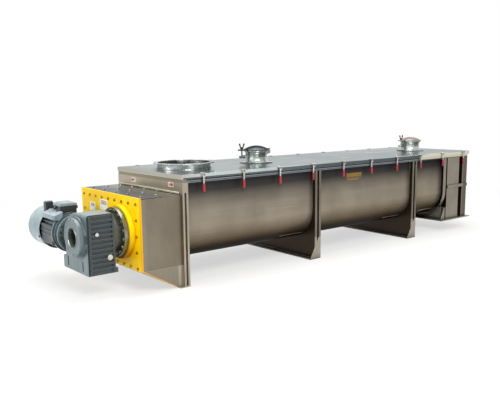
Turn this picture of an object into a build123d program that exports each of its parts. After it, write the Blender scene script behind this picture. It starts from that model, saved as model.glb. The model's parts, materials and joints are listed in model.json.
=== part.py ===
from build123d import *
import os
from math import acos, cos, hypot, pi, radians, sin, tan

# Double shaft paddle mixer. X runs along the trough from the drive end to the tail,
# Y across it, Z up from the floor. The origin is the centre of the foot bolt pattern.
# All sizes are in millimetres.

# Rotor axes and trough section
SHAFT_Z = 568.0
SHAFT_Y = 260.0
TROUGH_R = 338.0
SHEET = 4.0

# Length stations
FRAME_PITCH = 1800.0
CHUTE_X0 = 2554.0
CHUTE_L = 286.0
TAIL_BAY_L = 200.0

# Rim, gasket and lid
RIM_Z = 1023.0
RIM_H = 69.0
RIM_W = 43.0
RIM_T = 5.0
RIM_END_W = 19.0
GASKET_T = 7.0
GASKET_W = 30.0
LID_T = 4.0
LID_LIP_H = 45.0
LID_LIP_GAP = 2.0
LID_TAIL_OVERHANG = 34.0

# Drive end plate, support frames and feet
END_PLATE_T = 12.0
POST_W = 90.0
DRIVE_POST_W = 64.0
POST_D = 49.0
POST_T = 4.0
POST_LIP = 29.0
WEB_T = 8.0
FOOT_T = 12.0
FOOT_REACH = 75.0
GUSSET_H = 250.0
GUSSET_TIP = 25.0
GUSSET_T = 6.0
FOOT_HOLE_R = 11.0
FOOT_HOLE_INSET = 24.0
DRIVE_RAIL_H = 93.0
DRIVE_RAIL_D = 20.0
CHAMFER_EAR = 22.0

# Tail end: saddle ring, discharge chute and bearing bay
CHUTE_T = 6.0
BASE_FLANGE_Z = 150.0
BASE_FLANGE_T = 12.0
BASE_FLANGE_W = 45.0
SADDLE_RING_W = 60.0
SADDLE_RING_T = 6.0
SADDLE_GAP = 39.0
SADDLE_GUSSET_H = 160.0
BEAM_H = 40.0
BEAM_D = 12.0
BEAM_Z = 600.0
TAIL_PLATE_T = 10.0
TAIL_LIP_L = 115.0
TAIL_HOLE_CLEAR = 14.0
DISCHARGE_HOLE_R = 9.0
DISCHARGE_HOLES_ACROSS = 9

# Gear case on the drive end
CASE_L = 456.0
CASE_HALF_W = 622.0
CASE_HALF_H = 346.0
CASE_T = 10.0
CASE_FLANGE_W = 40.0
CASE_COVER_T = 10.0
FRONT_PLATE_T = 12.0
FRONT_PLATE_LAP = 6.0
FRONT_HOLE_CLEAR = 20.0
CASE_GUSSET_T = 8.0
CASE_GUSSET_FOOT = 48.0
CASE_FOOT_LAP = 29.0
PLATE_BOLT_INSET = 58.0
PLATE_BOLT_SIDE_INSET = 66.0
PLATE_BOLT_LOW_INSET = 22.0
PLATE_BOLT_SHIFT = 10.0
PLATE_BOLTS_ACROSS = 9
PLATE_BOLTS_DOWN = 5
PLATE_BOLT_AF = 24.0
BOLT_HEAD = 10.0
COVER_BOLT_SIDE_INSET = 110.0
COVER_BOLT_END_INSET = 63.0
COVER_BOLTS_ACROSS = 5
COVER_BOLTS_ALONG = 3

# Drive ring and gear unit
RING_R = 262.0
RING_BORE_R = 190.0
RING_L = 55.0
RING_BOLTS = 16
RING_BOLT_R = 214.0
RING_BOLT_AF = 30.0
UNIT_FLANGE_R = 240.0
UNIT_FLANGE_L = 45.0
UNIT_NECK_R = 176.0
UNIT_NECK_L = 78.0
UNIT_L = 272.0
UNIT_FRONT = 210.0
UNIT_COVER_T = 20.0
UNIT_BACK = 300.0
UNIT_BASE_BACK = 365.0
UNIT_BASE_H = 115.0
UNIT_INPUT_R = 130.0
UNIT_INPUT_L = 70.0
UNIT_BELOW = 343.0
UNIT_ABOVE = 220.0
UNIT_ROUND = 26.0
UNIT_CROWN_R = 270.0
UNIT_FOOT_H = 42.0
UNIT_FOOT_W = 22.0
UNIT_RIB_PITCH = 45.0
UNIT_RIB_T = 16.0
UNIT_RIB_D = 15.0
UNIT_RIBS = 11
HUB_R = 180.0
HUB_L = 60.0
HUB_BORE_R = 90.0
HUB_SHOULDER_R = 212.0
HUB_SHOULDER_L = 22.0
SLEEVE_BORE_R = 55.0
SLEEVE_RECESS = 34.0
SHAFT_RECESS = 30.0
POCKET_W = 20.0
POCKET_H = 95.0
POCKET_D = 14.0
POCKET_Y = (-330.0, 0.0)

# Motor
MOTOR_DROP = 40.0
ADAPTER_R = 185.0
ADAPTER_FLANGE_T = 25.0
ADAPTER_NECK_R = 140.0
ADAPTER_L = 100.0
ADAPTER_BOLT_R = 155.0
ADAPTER_BOLTS = 16
ADAPTER_BOLT_AF = 20.0
MOTOR_FLANGE_R = 200.0
MOTOR_FLANGE_T = 25.0
MOTOR_BODY_R = 168.0
MOTOR_FIN_R = 194.0
MOTOR_FIN_T = 6.0
MOTOR_FINS = 28
MOTOR_BODY_L = 330.0
COWL_R = 212.0
COWL_L = 330.0
COWL_T = 4.0
COWL_ROUND = 40.0
COWL_LAP = 20.0
COWL_SLOTS = 14
FAN_R = 186.0
FAN_L = 70.0
FAN_BLADES = 7
MOTOR_SHAFT_R = 24.0
TERMINAL_L = 165.0
TERMINAL_W = 170.0
TERMINAL_TOP = 282.0
TERMINAL_LID_T = 22.0
TERMINAL_LID_LAP = 4.0
FAN_BOX_W = 80.0
FAN_BOX_L = 60.0
FAN_BOX_H = 60.0
FAN_BOX_SIDE = 75.0
SHIELD_R = 134.0
PAD_W = 40.0
COWL_SLOT_L = 106.0
COWL_SLOT_W = 12.0

# Rotors
PIPE_R = 70.0
JOURNAL_R = 45.0
SWEEP_GAP = 12.0
PIPE_CLEAR = 20.0
FIRST_ARM = 140.0
ARM_PITCH = 320.0
ARM_W = 60.0
ARM_T = 20.0
BLADE_W = 150.0
BLADE_H = 110.0
BLADE_T = 10.0
BLADE_PITCH_DEG = 35.0
ARM_SHOE_L = 100.0
ARM_SHOE_W = 64.0
ARM_SHOE_T = 14.0
ARM_START_DEG = 25.0
ARM_STATIONS = 14
SHAFT_FIT = 0.05
SEAT_FIT = 0.02

# Sync gears
GEAR_TEETH = 40
GEAR_FACE = 90.0
GEAR_X = 190.0
GEAR_PRESSURE_DEG = 20.0
GEAR_BACKLASH = 0.8
GEAR_ROOT_MODULES = 1.25
GEAR_WEB_T = 34.0
GEAR_RIM = 42.0
GEAR_HUB_R = 78.0

# Bearings and seals
BEARING_R = 95.0
BEARING_L = 58.0
BEARING_FLANGE_R = 118.0
BEARING_FLANGE_T = 18.0
SEAL_R = 84.0
SEAL_L = 34.0
SEAL_FLANGE_R = 100.0
SEAL_FLANGE_T = 10.0
SEAL_GAP = 0.3

# Inlet and manways on the lid
INLET_X = -1384.0
INLET_R = 325.0
INLET_BORE_R = 280.0
INLET_H = 65.0
INLET_FLANGE_T = 10.0
INLET_HOLES = 16
INLET_HOLE_R = 7.0
INLET_HOLE_PCR = 308.0
MANWAY_X = (-375.0, 2560.0)
MANWAY_BORE_R = 117.0
NECK_BASE_R = 188.0
NECK_BASE_T = 8.0
NECK_FLARE_R = 168.0
NECK_WAIST_R = 125.0
NECK_WAIST_Z = 80.0
NECK_RIM_R = 151.0
NECK_RIM_T = 12.0
NECK_H = 144.0
COVER_R = 157.0
COVER_RIM_T = 8.0
COVER_DOME_R = 148.0
COVER_DOME = 44.0
COVER_T = 5.0
COVER_SEAT = 0.3
HINGE_X = 215.0
HINGE_Z = 72.0
HINGE_PIN_R = 6.0
HINGE_EAR_T = 8.0
HINGE_EAR_R = 14.0
EYE_R = 15.0
EYE_W = 22.0
EYE_SIDE_GAP = 0.5
BOLT_R = 8.0
LUG_W = 46.0
LUG_T = 16.0
LUG_REACH = 40.0
TAB_REACH = 42.0
TAB_T = 12.0
EAR_REACH = 66.0
EAR_H = 30.0
NUT_R = 15.0
NUT_H = 18.0
WING_SPAN = 42.0
WING_H = 60.0
WING_TIP = 16.0
WING_T = 8.0

# Lid clamps
CLAMP_COUNT = 10
CLAMP_PITCH = 500.0
CLAMP_FIRST = 247.0
PIVOT_OUT = 12.0
PIVOT_DROP = 25.0
CLAMP_PIN_R = 4.0
EAR_T = 5.0
EAR_R = 10.0
LEVER_W = 18.0
LEVER_T = 7.0
LEVER_SIDE_GAP = 0.5
KNUCKLE_R = 9.0
NOSE_IN = 17.0
NOSE_H = 14.0
NOSE_GAP = 0.3
STRAP_IN = 24.0
STRAP_T = 4.0
GRIP_R = 10.0
GRIP_L = 78.0
ARM_TO_GRIP = 71.0

# Worked out from the sizes above
SKIN_R = TROUGH_R + SHEET
TROUGH_HALF = SHAFT_Y + SKIN_R
RIM_TOP = RIM_Z + RIM_H
RIM_HALF = TROUGH_HALF + RIM_W
LID_UNDER = RIM_TOP + GASKET_T
LID_TOP = LID_UNDER + LID_T
LID_HALF = RIM_HALF + LID_LIP_GAP + LID_T
POST_HALF = TROUGH_HALF + POST_D
DRIVE_X = -FRAME_PITCH
END_FACE_X = DRIVE_X - END_PLATE_T
RIM_X0 = END_FACE_X - RIM_END_W
CHUTE_X1 = CHUTE_X0 + CHUTE_L
TAIL_X = CHUTE_X1 + TAIL_BAY_L
LID_X0 = RIM_X0 - LID_LIP_GAP - LID_T
LID_X1 = TAIL_X + LID_TAIL_OVERHANG
CASE_X0 = END_FACE_X - CASE_L
PLATE_X0 = CASE_X0 - FRONT_PLATE_T
PLATE_BOLT_TOP = SHAFT_Z + CASE_HALF_H - PLATE_BOLT_INSET
PLATE_BOLT_LOW = SHAFT_Z - CASE_HALF_H + PLATE_BOLT_LOW_INSET
PLATE_BOLT_PITCH_Y = 2 * (CASE_HALF_W - PLATE_BOLT_SIDE_INSET) / (PLATE_BOLTS_ACROSS - 1)
PLATE_BOLT_PITCH_Z = (PLATE_BOLT_TOP - PLATE_BOLT_LOW) / (PLATE_BOLTS_DOWN - 1)
COVER_BOLT_PITCH_Y = 2 * (CASE_HALF_W - COVER_BOLT_SIDE_INSET) / (COVER_BOLTS_ACROSS - 1)
COVER_BOLT_PITCH_X = (CASE_L - 2 * COVER_BOLT_END_INSET) / (COVER_BOLTS_ALONG - 1)
RING_X0 = PLATE_X0 - RING_L
UNIT_FLANGE_X0 = RING_X0 - UNIT_FLANGE_L
UNIT_X1 = UNIT_FLANGE_X0 - UNIT_NECK_L
UNIT_X0 = UNIT_X1 - UNIT_L
HUB_X0 = UNIT_X0 - HUB_L
UNIT_Y0 = -SHAFT_Y - UNIT_FRONT
UNIT_Y1 = -SHAFT_Y + UNIT_BACK
UNIT_Z0 = SHAFT_Z - UNIT_BELOW
UNIT_Z1 = SHAFT_Z + UNIT_ABOVE
MOTOR_X = (UNIT_X0 + UNIT_X1) / 2
MOTOR_Z = SHAFT_Z - MOTOR_DROP
ADAPTER_Y0 = UNIT_Y1 + UNIT_INPUT_L
MOTOR_Y0 = ADAPTER_Y0 + ADAPTER_L
MOTOR_Y1 = MOTOR_Y0 + MOTOR_BODY_L
COWL_Y0 = MOTOR_Y1 - COWL_LAP
COWL_Y1 = COWL_Y0 + COWL_L
BASE_TOP = BASE_FLANGE_Z + BASE_FLANGE_T
BASE_HALF = RIM_HALF + BASE_FLANGE_W
RING_SADDLE_X1 = CHUTE_X0 - SADDLE_GAP
RING_SADDLE_X0 = RING_SADDLE_X1 - SADDLE_RING_W
FOOT_Y = POST_HALF - FOOT_HOLE_INSET
CLAMP_Y = LID_HALF + PIVOT_OUT
CLAMP_Z = LID_TOP - PIVOT_DROP
SIDES = (-1, 1)
SHAFT_R = SLEEVE_BORE_R - SEAT_FIT
SWEEP_R = TROUGH_R - SWEEP_GAP
MODULE = 2 * SHAFT_Y / GEAR_TEETH
NECK_TOP = LID_TOP + NECK_H
COVER_Z = NECK_TOP + COVER_SEAT
LUG_TOP = COVER_Z + LUG_T
PIN_Z = LID_TOP + HINGE_Z


def block(x0, x1, y0, y1, z0, z1):
    """Box between two corners."""
    middle = Pos((x0 + x1) / 2, (y0 + y1) / 2, (z0 + z1) / 2)
    return middle * Box(x1 - x0, y1 - y0, z1 - z0)


def rod_x(x0, x1, y, z, radius):
    """Round bar along X."""
    return Pos((x0 + x1) / 2, y, z) * Rot(0, 90, 0) * Cylinder(radius, x1 - x0)


def rod_y(x, y0, y1, z, radius):
    """Round bar along Y."""
    return Pos(x, (y0 + y1) / 2, z) * Rot(90, 0, 0) * Cylinder(radius, y1 - y0)


def rod_z(x, y, z0, z1, radius):
    """Round bar along Z."""
    return Pos(x, y, (z0 + z1) / 2) * Cylinder(radius, z1 - z0)


def prism_x(sketch, x0, x1):
    """Push a section drawn in Y and Z along X."""
    return extrude(Plane.YZ.offset(x0) * sketch, amount=x1 - x0)


def prism_y(points, y0, y1):
    """Push a closed outline of X and Z points along Y."""
    face = make_face(Polyline(*[(x, z) for x, z in points], close=True))
    return extrude(Plane.XZ.offset(-y1) * face, amount=y1 - y0)


def turned(points, x, y, z, axis="z"):
    """Turn a closed outline of radius and height points about an axis."""
    face = make_face(Polyline(*[(r, 0, h) for r, h in points], close=True))
    body = revolve(face, Axis.Z, 360)
    turn = {"x": Rot(0, 90, 0), "y": Rot(-90, 0, 0), "z": Rot(0, 0, 0)}[axis]
    return Pos(x, y, z) * turn * body


def hexagon_x(x0, x1, y, z, flats):
    """Hexagon bolt head along X."""
    return prism_x(Pos(y, z) * RegularPolygon(flats / 2, 6, major_radius=False), x0, x1)


def mirrored_pair(shape):
    """The shape and its mirror image across the XZ plane."""
    return [shape, mirror(shape, Plane.XZ)]


def group(solids):
    """Separate solids kept together as one node."""
    flat = []
    for item in solids:
        flat.extend(item.solids())
    return Compound(children=flat)


def trough_section(grow, top):
    """Section of the twin trough, grown outwards from its inner face."""
    half = SHAFT_Y + TROUGH_R + grow
    section = Pos(0, (SHAFT_Z + top) / 2) * Rectangle(2 * half, top - SHAFT_Z)
    for side in SIDES:
        section += Pos(side * SHAFT_Y, SHAFT_Z) * Circle(TROUGH_R + grow)
    return section


def trough_shell():
    """Twin trough in folded sheet, from the drive end plate to the chute."""
    outside = prism_x(trough_section(SHEET, RIM_TOP), DRIVE_X, CHUTE_X0)
    inside = prism_x(trough_section(0, RIM_TOP), DRIVE_X, CHUTE_X0)
    return outside - inside


def drive_end_plate():
    """Thick plate that closes the drive end, with its two shaft holes."""
    plate = block(END_FACE_X, DRIVE_X, -TROUGH_HALF, TROUGH_HALF, FOOT_T, RIM_TOP)
    for side in SIDES:
        plate -= rod_x(END_FACE_X, DRIVE_X, side * SHAFT_Y, SHAFT_Z, SHAFT_R + SEAL_GAP)
    return plate


def post(x_mid, width, z0, z1):
    """Folded channel that stands against the trough wall, open outwards."""
    x0 = x_mid - width / 2
    x1 = x_mid + width / 2
    lip = min(POST_LIP, width * POST_LIP / POST_W)
    body = block(x0, x1, -POST_HALF, -TROUGH_HALF, z0, z1)
    body -= block(x0 + POST_T, x1 - POST_T, -POST_HALF + POST_T, -TROUGH_HALF - POST_T, z0, z1)
    body -= block(x0 + lip, x1 - lip, -POST_HALF, -POST_HALF + POST_T, z0, z1)
    return body


def foot_gusset(x0, x1, z0, height, reach):
    """Triangular plate that stiffens a foot, seen from the side."""
    tip = x1 - GUSSET_TIP
    outline = [(x0 - reach, z0), (x1, z0), (x1, z0 + height), (tip, z0 + height)]
    return prism_y(outline, -POST_HALF, -POST_HALF + GUSSET_T)


def cross_web(x0, x1, z0, half):
    """Plate under the trough, cut to the trough's outer skin."""
    web = block(x0, x1, -half, half, z0, SHAFT_Z)
    return web - prism_x(trough_section(SHEET, SHAFT_Z + SHEET), x0, x1)


def foot_plate(x0, x1, hole_x, half):
    """Flat foot across the machine, drilled for one anchor bolt on each side."""
    plate = block(x0, x1, -half, half, 0, FOOT_T)
    for side in SIDES:
        plate -= rod_z(hole_x, side * FOOT_Y, 0, FOOT_T, FOOT_HOLE_R)
    return plate


def support_frame(x_mid, width):
    """Welded frame: two posts, the plate under the trough, the foot and its gussets."""
    x0 = x_mid - width / 2
    x1 = x_mid + width / 2
    half_frame = post(x_mid, width, FOOT_T, RIM_Z)
    half_frame += foot_gusset(x0, x1, FOOT_T, GUSSET_H, FOOT_REACH)
    frame = foot_plate(x0 - FOOT_REACH, x1, x_mid, POST_HALF)
    for side_frame in mirrored_pair(half_frame):
        frame += side_frame
    return frame


def middle_support_frame():
    return saddle_frame(0)


def rear_support_frame():
    return saddle_frame(FRAME_PITCH)


def saddle_frame(x_mid):
    """Support frame whose plate carries the trough from below."""
    x0 = x_mid - POST_W / 2
    return support_frame(x_mid, POST_W) + cross_web(x0, x0 + WEB_T, FOOT_T, TROUGH_HALF)


def case_gusset():
    """Plate under the gear case's side, sloping down to the drive foot."""
    z1 = SHAFT_Z - CASE_HALF_H
    x1 = DRIVE_X - DRIVE_POST_W / 2
    outline = [(x1 - CASE_GUSSET_FOOT, 0), (x1 + POST_T, 0), (x1 + POST_T, z1), (CASE_X0, z1)]
    return prism_y(outline, -CASE_HALF_W, -CASE_HALF_W + CASE_GUSSET_T)


def drive_support_frame():
    """Support frame at the drive end, with the rail and ears under the lid."""
    x0 = DRIVE_X - DRIVE_POST_W / 2
    x1 = DRIVE_X + DRIVE_POST_W / 2
    rail_z = RIM_Z - DRIVE_RAIL_H
    frame = foot_plate(x0 - CASE_GUSSET_FOOT, x1, DRIVE_X, CASE_HALF_W + CASE_FOOT_LAP)
    frame += block(x0, END_FACE_X, -TROUGH_HALF, TROUGH_HALF, rail_z, RIM_Z)
    ear = [(x0, rail_z), (x1 - CHAMFER_EAR, rail_z), (x1, rail_z + CHAMFER_EAR), (x1, RIM_Z), (x0, RIM_Z)]
    half_frame = post(DRIVE_X, DRIVE_POST_W, FOOT_T, RIM_Z) + prism_y(ear, -POST_HALF, -POST_HALF + POST_T)
    half_frame += case_gusset()
    for side_frame in mirrored_pair(half_frame):
        frame += side_frame
    z0 = SHAFT_Z - CASE_HALF_H
    return frame - block(x0, END_FACE_X, -CASE_HALF_W, CASE_HALF_W, z0, SHAFT_Z + CASE_HALF_H)


def saddle_ring():
    """Tee ring round the tail of the trough, its plate and its two gussets."""
    x_mid = (RING_SADDLE_X0 + RING_SADDLE_X1) / 2
    grow = SHEET + POST_D
    band = prism_x(trough_section(grow, RIM_Z), RING_SADDLE_X0, RING_SADDLE_X1)
    band -= prism_x(trough_section(grow - SADDLE_RING_T, RIM_Z), RING_SADDLE_X0, RING_SADDLE_X1)
    web = block(x_mid, x_mid + WEB_T, -TROUGH_HALF, TROUGH_HALF, BASE_TOP, SHAFT_Z)
    web += prism_x(trough_section(grow, RIM_Z), x_mid, x_mid + WEB_T)
    web -= prism_x(trough_section(SHEET, RIM_Z), x_mid, x_mid + WEB_T)
    ring = band + web
    gusset = foot_gusset(RING_SADDLE_X0, RING_SADDLE_X1, BASE_TOP, SADDLE_GUSSET_H, FOOT_REACH / 2)
    for side_plate in mirrored_pair(gusset):
        ring += side_plate
    return ring


def base_flange():
    """Flat flange under the tail, open over the chute and drilled round the opening."""
    x0 = RING_SADDLE_X0 - SADDLE_RING_W
    x1 = TAIL_X + BASE_FLANGE_W
    flange = block(x0, x1, -BASE_HALF, BASE_HALF, BASE_FLANGE_Z, BASE_TOP)
    inner_half = RIM_HALF - CHUTE_T
    flange -= block(CHUTE_X0 + CHUTE_T, CHUTE_X1 - CHUTE_T, -inner_half, inner_half, BASE_FLANGE_Z, BASE_TOP)
    for x, y in discharge_holes():
        flange -= rod_z(x, y, BASE_FLANGE_Z, BASE_TOP, DISCHARGE_HOLE_R)
    return flange


def discharge_holes():
    """Places of the bolt holes before and behind the discharge opening."""
    step = 2 * (RIM_HALF - CHUTE_T) / (DISCHARGE_HOLES_ACROSS - 1)
    first = -(RIM_HALF - CHUTE_T)
    places = []
    for x in (CHUTE_X0 - SADDLE_GAP / 2, CHUTE_X1 + SADDLE_GAP / 2):
        places += [(x, first + n * step) for n in range(DISCHARGE_HOLES_ACROSS)]
    return places


def discharge_chute():
    """Welded tail: saddle ring, chute walls, side beams and the bolted base flange."""
    outer = block(CHUTE_X0, CHUTE_X1 - CHUTE_T, -RIM_HALF, RIM_HALF, BASE_TOP, RIM_Z)
    inner_half = RIM_HALF - CHUTE_T
    walls = outer - block(CHUTE_X0 + CHUTE_T, CHUTE_X1, -inner_half, inner_half, BASE_TOP, RIM_Z)
    walls -= prism_x(trough_section(0, RIM_Z), CHUTE_X0, CHUTE_X0 + CHUTE_T)
    chute = walls + base_flange() + saddle_ring()
    beam = block(CHUTE_X0, CHUTE_X1, -RIM_HALF - BEAM_D, -RIM_HALF, BEAM_Z, BEAM_Z + BEAM_H)
    for side_beam in mirrored_pair(beam):
        chute += side_beam
    return chute


def tail_end_plate():
    """Plate between the chute and the bearing bay, with its two shaft holes."""
    plate = block(CHUTE_X1 - CHUTE_T, CHUTE_X1, -RIM_HALF, RIM_HALF, BASE_TOP, RIM_Z)
    for side in SIDES:
        plate -= rod_x(CHUTE_X1 - CHUTE_T, CHUTE_X1, side * SHAFT_Y, SHAFT_Z, JOURNAL_R + SEAL_GAP)
    return plate


def tail_bearing_frame():
    """Outer plate of the bearing bay, its folded side lips and the side beams."""
    x0 = TAIL_X - TAIL_PLATE_T
    frame = block(x0, TAIL_X, -RIM_HALF, RIM_HALF, BASE_TOP, RIM_Z)
    for side in SIDES:
        frame -= rod_x(x0, TAIL_X, side * SHAFT_Y, SHAFT_Z, JOURNAL_R + TAIL_HOLE_CLEAR)
    lip_x0 = TAIL_X - TAIL_LIP_L
    side = block(lip_x0, x0, -RIM_HALF, -RIM_HALF + CHUTE_T, BASE_TOP, RIM_Z)
    side += block(lip_x0, lip_x0 + CHUTE_T, -RIM_HALF, -RIM_HALF + RIM_W, BASE_TOP, RIM_Z)
    side += block(CHUTE_X1, TAIL_X, -RIM_HALF - BEAM_D, -RIM_HALF, BEAM_Z, BEAM_Z + BEAM_H)
    for side_post in mirrored_pair(side):
        frame += side_post
    return frame


def ring_plate(x0, x1, half, inner_x0, inner_x1, inner_half, z0, z1):
    """Flat rectangular ring between two rectangles."""
    plate = block(x0, x1, -half, half, z0, z1)
    return plate - block(inner_x0, inner_x1, -inner_half, inner_half, z0, z1)


def trough_rim():
    """Folded channel round the mouth of the trough, open towards the wall."""
    inner_x1 = TAIL_X - RIM_W
    rim = ring_plate(RIM_X0, TAIL_X, RIM_HALF, END_FACE_X, inner_x1, TROUGH_HALF, RIM_Z, RIM_TOP)
    groove = block(
        RIM_X0 + RIM_T, TAIL_X - RIM_T, -RIM_HALF + RIM_T, RIM_HALF - RIM_T, RIM_Z + RIM_T, RIM_TOP - RIM_T
    )
    return rim - groove


def lid_gasket():
    """Flat seal between the rim and the lid."""
    inner_x1 = TAIL_X - RIM_T - GASKET_W
    half = RIM_HALF - RIM_T
    return ring_plate(
        RIM_X0 + RIM_T, TAIL_X - RIM_T, half, END_FACE_X, inner_x1, half - GASKET_W, RIM_TOP, LID_UNDER
    )


def lid():
    """Pan-shaped lid with its inlet and manway holes."""
    lid_body = block(LID_X0, LID_X1, -LID_HALF, LID_HALF, LID_TOP - LID_LIP_H, LID_TOP)
    inner_half = LID_HALF - LID_T
    lid_body -= block(LID_X0 + LID_T, LID_X1 - LID_T, -inner_half, inner_half, LID_TOP - LID_LIP_H, LID_UNDER)
    lid_body -= rod_z(INLET_X, 0, LID_UNDER, LID_TOP, INLET_BORE_R)
    for x in MANWAY_X:
        lid_body -= rod_z(x, 0, LID_UNDER, LID_TOP, MANWAY_BORE_R)
    return lid_body


def inlet_collar():
    """Round feed inlet with a drilled flange."""
    wall_r = INLET_BORE_R + SHEET
    outline = [
        (INLET_BORE_R, 0),
        (wall_r, 0),
        (wall_r, INLET_H - INLET_FLANGE_T),
        (INLET_R, INLET_H - INLET_FLANGE_T),
        (INLET_R, INLET_H),
        (INLET_BORE_R, INLET_H),
    ]
    collar = turned(outline, INLET_X, 0, LID_TOP)
    z0 = LID_TOP + INLET_H - INLET_FLANGE_T
    for n in range(INLET_HOLES):
        angle = 2 * pi * (n + 0.5) / INLET_HOLES
        x = INLET_X + INLET_HOLE_PCR * cos(angle)
        collar -= rod_z(x, INLET_HOLE_PCR * sin(angle), z0, z0 + INLET_FLANGE_T, INLET_HOLE_R)
    return collar


def manway_neck(x):
    """Waisted manway neck with the hinge ears, their pin and the catch ear."""
    rim_z = NECK_H - NECK_RIM_T
    with BuildSketch(Plane.XZ) as profile:
        with BuildLine():
            Polyline((MANWAY_BORE_R, 0), (NECK_BASE_R, 0), (NECK_BASE_R, NECK_BASE_T), (NECK_FLARE_R, NECK_BASE_T))
            Bezier((NECK_FLARE_R, NECK_BASE_T), (NECK_WAIST_R, NECK_BASE_T), (NECK_WAIST_R, NECK_WAIST_Z))
            Bezier((NECK_WAIST_R, NECK_WAIST_Z), (NECK_WAIST_R, rim_z), (NECK_RIM_R, rim_z))
            Polyline((NECK_RIM_R, rim_z), (NECK_RIM_R, NECK_H), (MANWAY_BORE_R, NECK_H), (MANWAY_BORE_R, 0))
        make_face()
    neck = revolve(profile.sketch, Axis.Z, 360)
    inner = (MANWAY_BORE_R + NECK_WAIST_R) / 2
    gap = EYE_W / 2 + EYE_SIDE_GAP
    ear = [
        (-inner, HINGE_Z - HINGE_EAR_R * 2),
        (-inner, HINGE_Z + HINGE_EAR_R * 2),
        (-HINGE_X, HINGE_Z + HINGE_EAR_R),
        (-HINGE_X, HINGE_Z - HINGE_EAR_R),
    ]
    for y0 in (gap, -gap - HINGE_EAR_T):
        neck += prism_y(ear, y0, y0 + HINGE_EAR_T)
        neck += rod_y(-HINGE_X, y0, y0 + HINGE_EAR_T, HINGE_Z, HINGE_EAR_R)
    neck += rod_y(-HINGE_X, -gap - HINGE_EAR_T, gap + HINGE_EAR_T, HINGE_Z, HINGE_PIN_R)
    tip = NECK_RIM_R + EAR_REACH
    catch = [(inner, rim_z - 2 * EAR_H), (inner, rim_z), (tip, rim_z), (tip, rim_z - EAR_H)]
    neck += prism_y(catch, -HINGE_EAR_T / 2, HINGE_EAR_T / 2)
    neck -= rod_z(0, 0, 0, NECK_H, MANWAY_BORE_R)
    return Pos(x, 0, LID_TOP) * neck


def front_manway_neck():
    return manway_neck(MANWAY_X[0])


def rear_manway_neck():
    return manway_neck(MANWAY_X[1])


def cover_shell():
    """Domed cover with a flat rim, drawn about its own centre."""
    dome_r = (COVER_DOME_R**2 + COVER_DOME**2) / (2 * COVER_DOME)
    crown = COVER_RIM_T + COVER_DOME
    centre = Pos(0, 0, crown - dome_r)
    cover = centre * Sphere(dome_r) & rod_z(0, 0, 0, crown, COVER_DOME_R)
    cover += rod_z(0, 0, 0, COVER_RIM_T, COVER_R)
    return cover - (centre * Sphere(dome_r - COVER_T) & rod_z(0, 0, 0, crown, MANWAY_BORE_R))


def manway_cover(x):
    """Domed cover with its hinge lug and tab, and the eye bolt that hinges it."""
    cover = cover_shell()
    reach = HINGE_X + LUG_REACH
    cover += block(-reach, -COVER_DOME_R + LUG_T, -LUG_W / 2, LUG_W / 2, 0, LUG_T)
    cover += block(COVER_DOME_R - TAB_T, COVER_R + TAB_REACH, -LUG_W / 2, LUG_W / 2, 0, TAB_T)
    cover -= rod_z(-HINGE_X, 0, 0, LUG_T, BOLT_R + SEAL_GAP)
    drop = PIN_Z - COVER_Z
    bolt = rod_y(-HINGE_X, -EYE_W / 2, EYE_W / 2, drop, EYE_R)
    bolt += rod_z(-HINGE_X, 0, drop, LUG_T + NUT_H + BOLT_R, BOLT_R)
    bolt -= rod_y(-HINGE_X, -EYE_W / 2, EYE_W / 2, drop, HINGE_PIN_R + SHAFT_FIT)
    return group([Pos(x, 0, COVER_Z) * cover, Pos(x, 0, COVER_Z) * bolt])


def front_manway_cover():
    return manway_cover(MANWAY_X[0])


def rear_manway_cover():
    return manway_cover(MANWAY_X[1])


def wing_nut(x):
    """Wing nut on the eye bolt."""
    nut = rod_z(0, 0, 0, NUT_H, NUT_R)
    wing = [(NUT_R / 2, 0), (NUT_R, 0), (WING_SPAN, WING_H), (WING_SPAN - WING_TIP, WING_H + NUT_H / 2)]
    for side in SIDES:
        nut += prism_y([(side * a, b) for a, b in wing], -WING_T / 2, WING_T / 2)
    nut -= rod_z(0, 0, 0, WING_H, BOLT_R + SHAFT_FIT)
    return Pos(x - HINGE_X, 0, LUG_TOP + COVER_SEAT) * nut


def front_wing_nut():
    return wing_nut(MANWAY_X[0])


def rear_wing_nut():
    return wing_nut(MANWAY_X[1])


def gear_case():
    """Open-topped welded case for the sync gears, with bolting flanges."""
    z0 = SHAFT_Z - CASE_HALF_H
    z1 = SHAFT_Z + CASE_HALF_H - CASE_COVER_T
    case = block(CASE_X0, END_FACE_X, -CASE_HALF_W, CASE_HALF_W, z0, z1)
    inner_w = CASE_HALF_W - CASE_T
    case -= block(CASE_X0 + CASE_T, END_FACE_X - CASE_T, -inner_w, inner_w, z0 + CASE_T, z1 - CASE_T)
    window_w = CASE_HALF_W - CASE_FLANGE_W
    case -= block(CASE_X0, END_FACE_X, -window_w, window_w, z0 + CASE_FLANGE_W, z1 - CASE_FLANGE_W)
    case -= block(CASE_X0 + CASE_FLANGE_W, END_FACE_X - CASE_FLANGE_W, -window_w, window_w, z0 + CASE_FLANGE_W, z1)
    return case


def gear_case_cover():
    """Bolted top plate of the gear case."""
    z1 = SHAFT_Z + CASE_HALF_H
    return block(CASE_X0, END_FACE_X, -CASE_HALF_W, CASE_HALF_W, z1 - CASE_COVER_T, z1)


def gear_case_plate():
    """Front plate that carries the drive ring and the front bearings."""
    half_w = CASE_HALF_W + FRONT_PLATE_LAP
    half_h = CASE_HALF_H + FRONT_PLATE_LAP / 2
    plate = block(PLATE_X0, CASE_X0, -half_w, half_w, SHAFT_Z - half_h, SHAFT_Z + half_h)
    return plate - rod_x(PLATE_X0, CASE_X0, -SHAFT_Y, SHAFT_Z, SHAFT_R + FRONT_HOLE_CLEAR)


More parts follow.
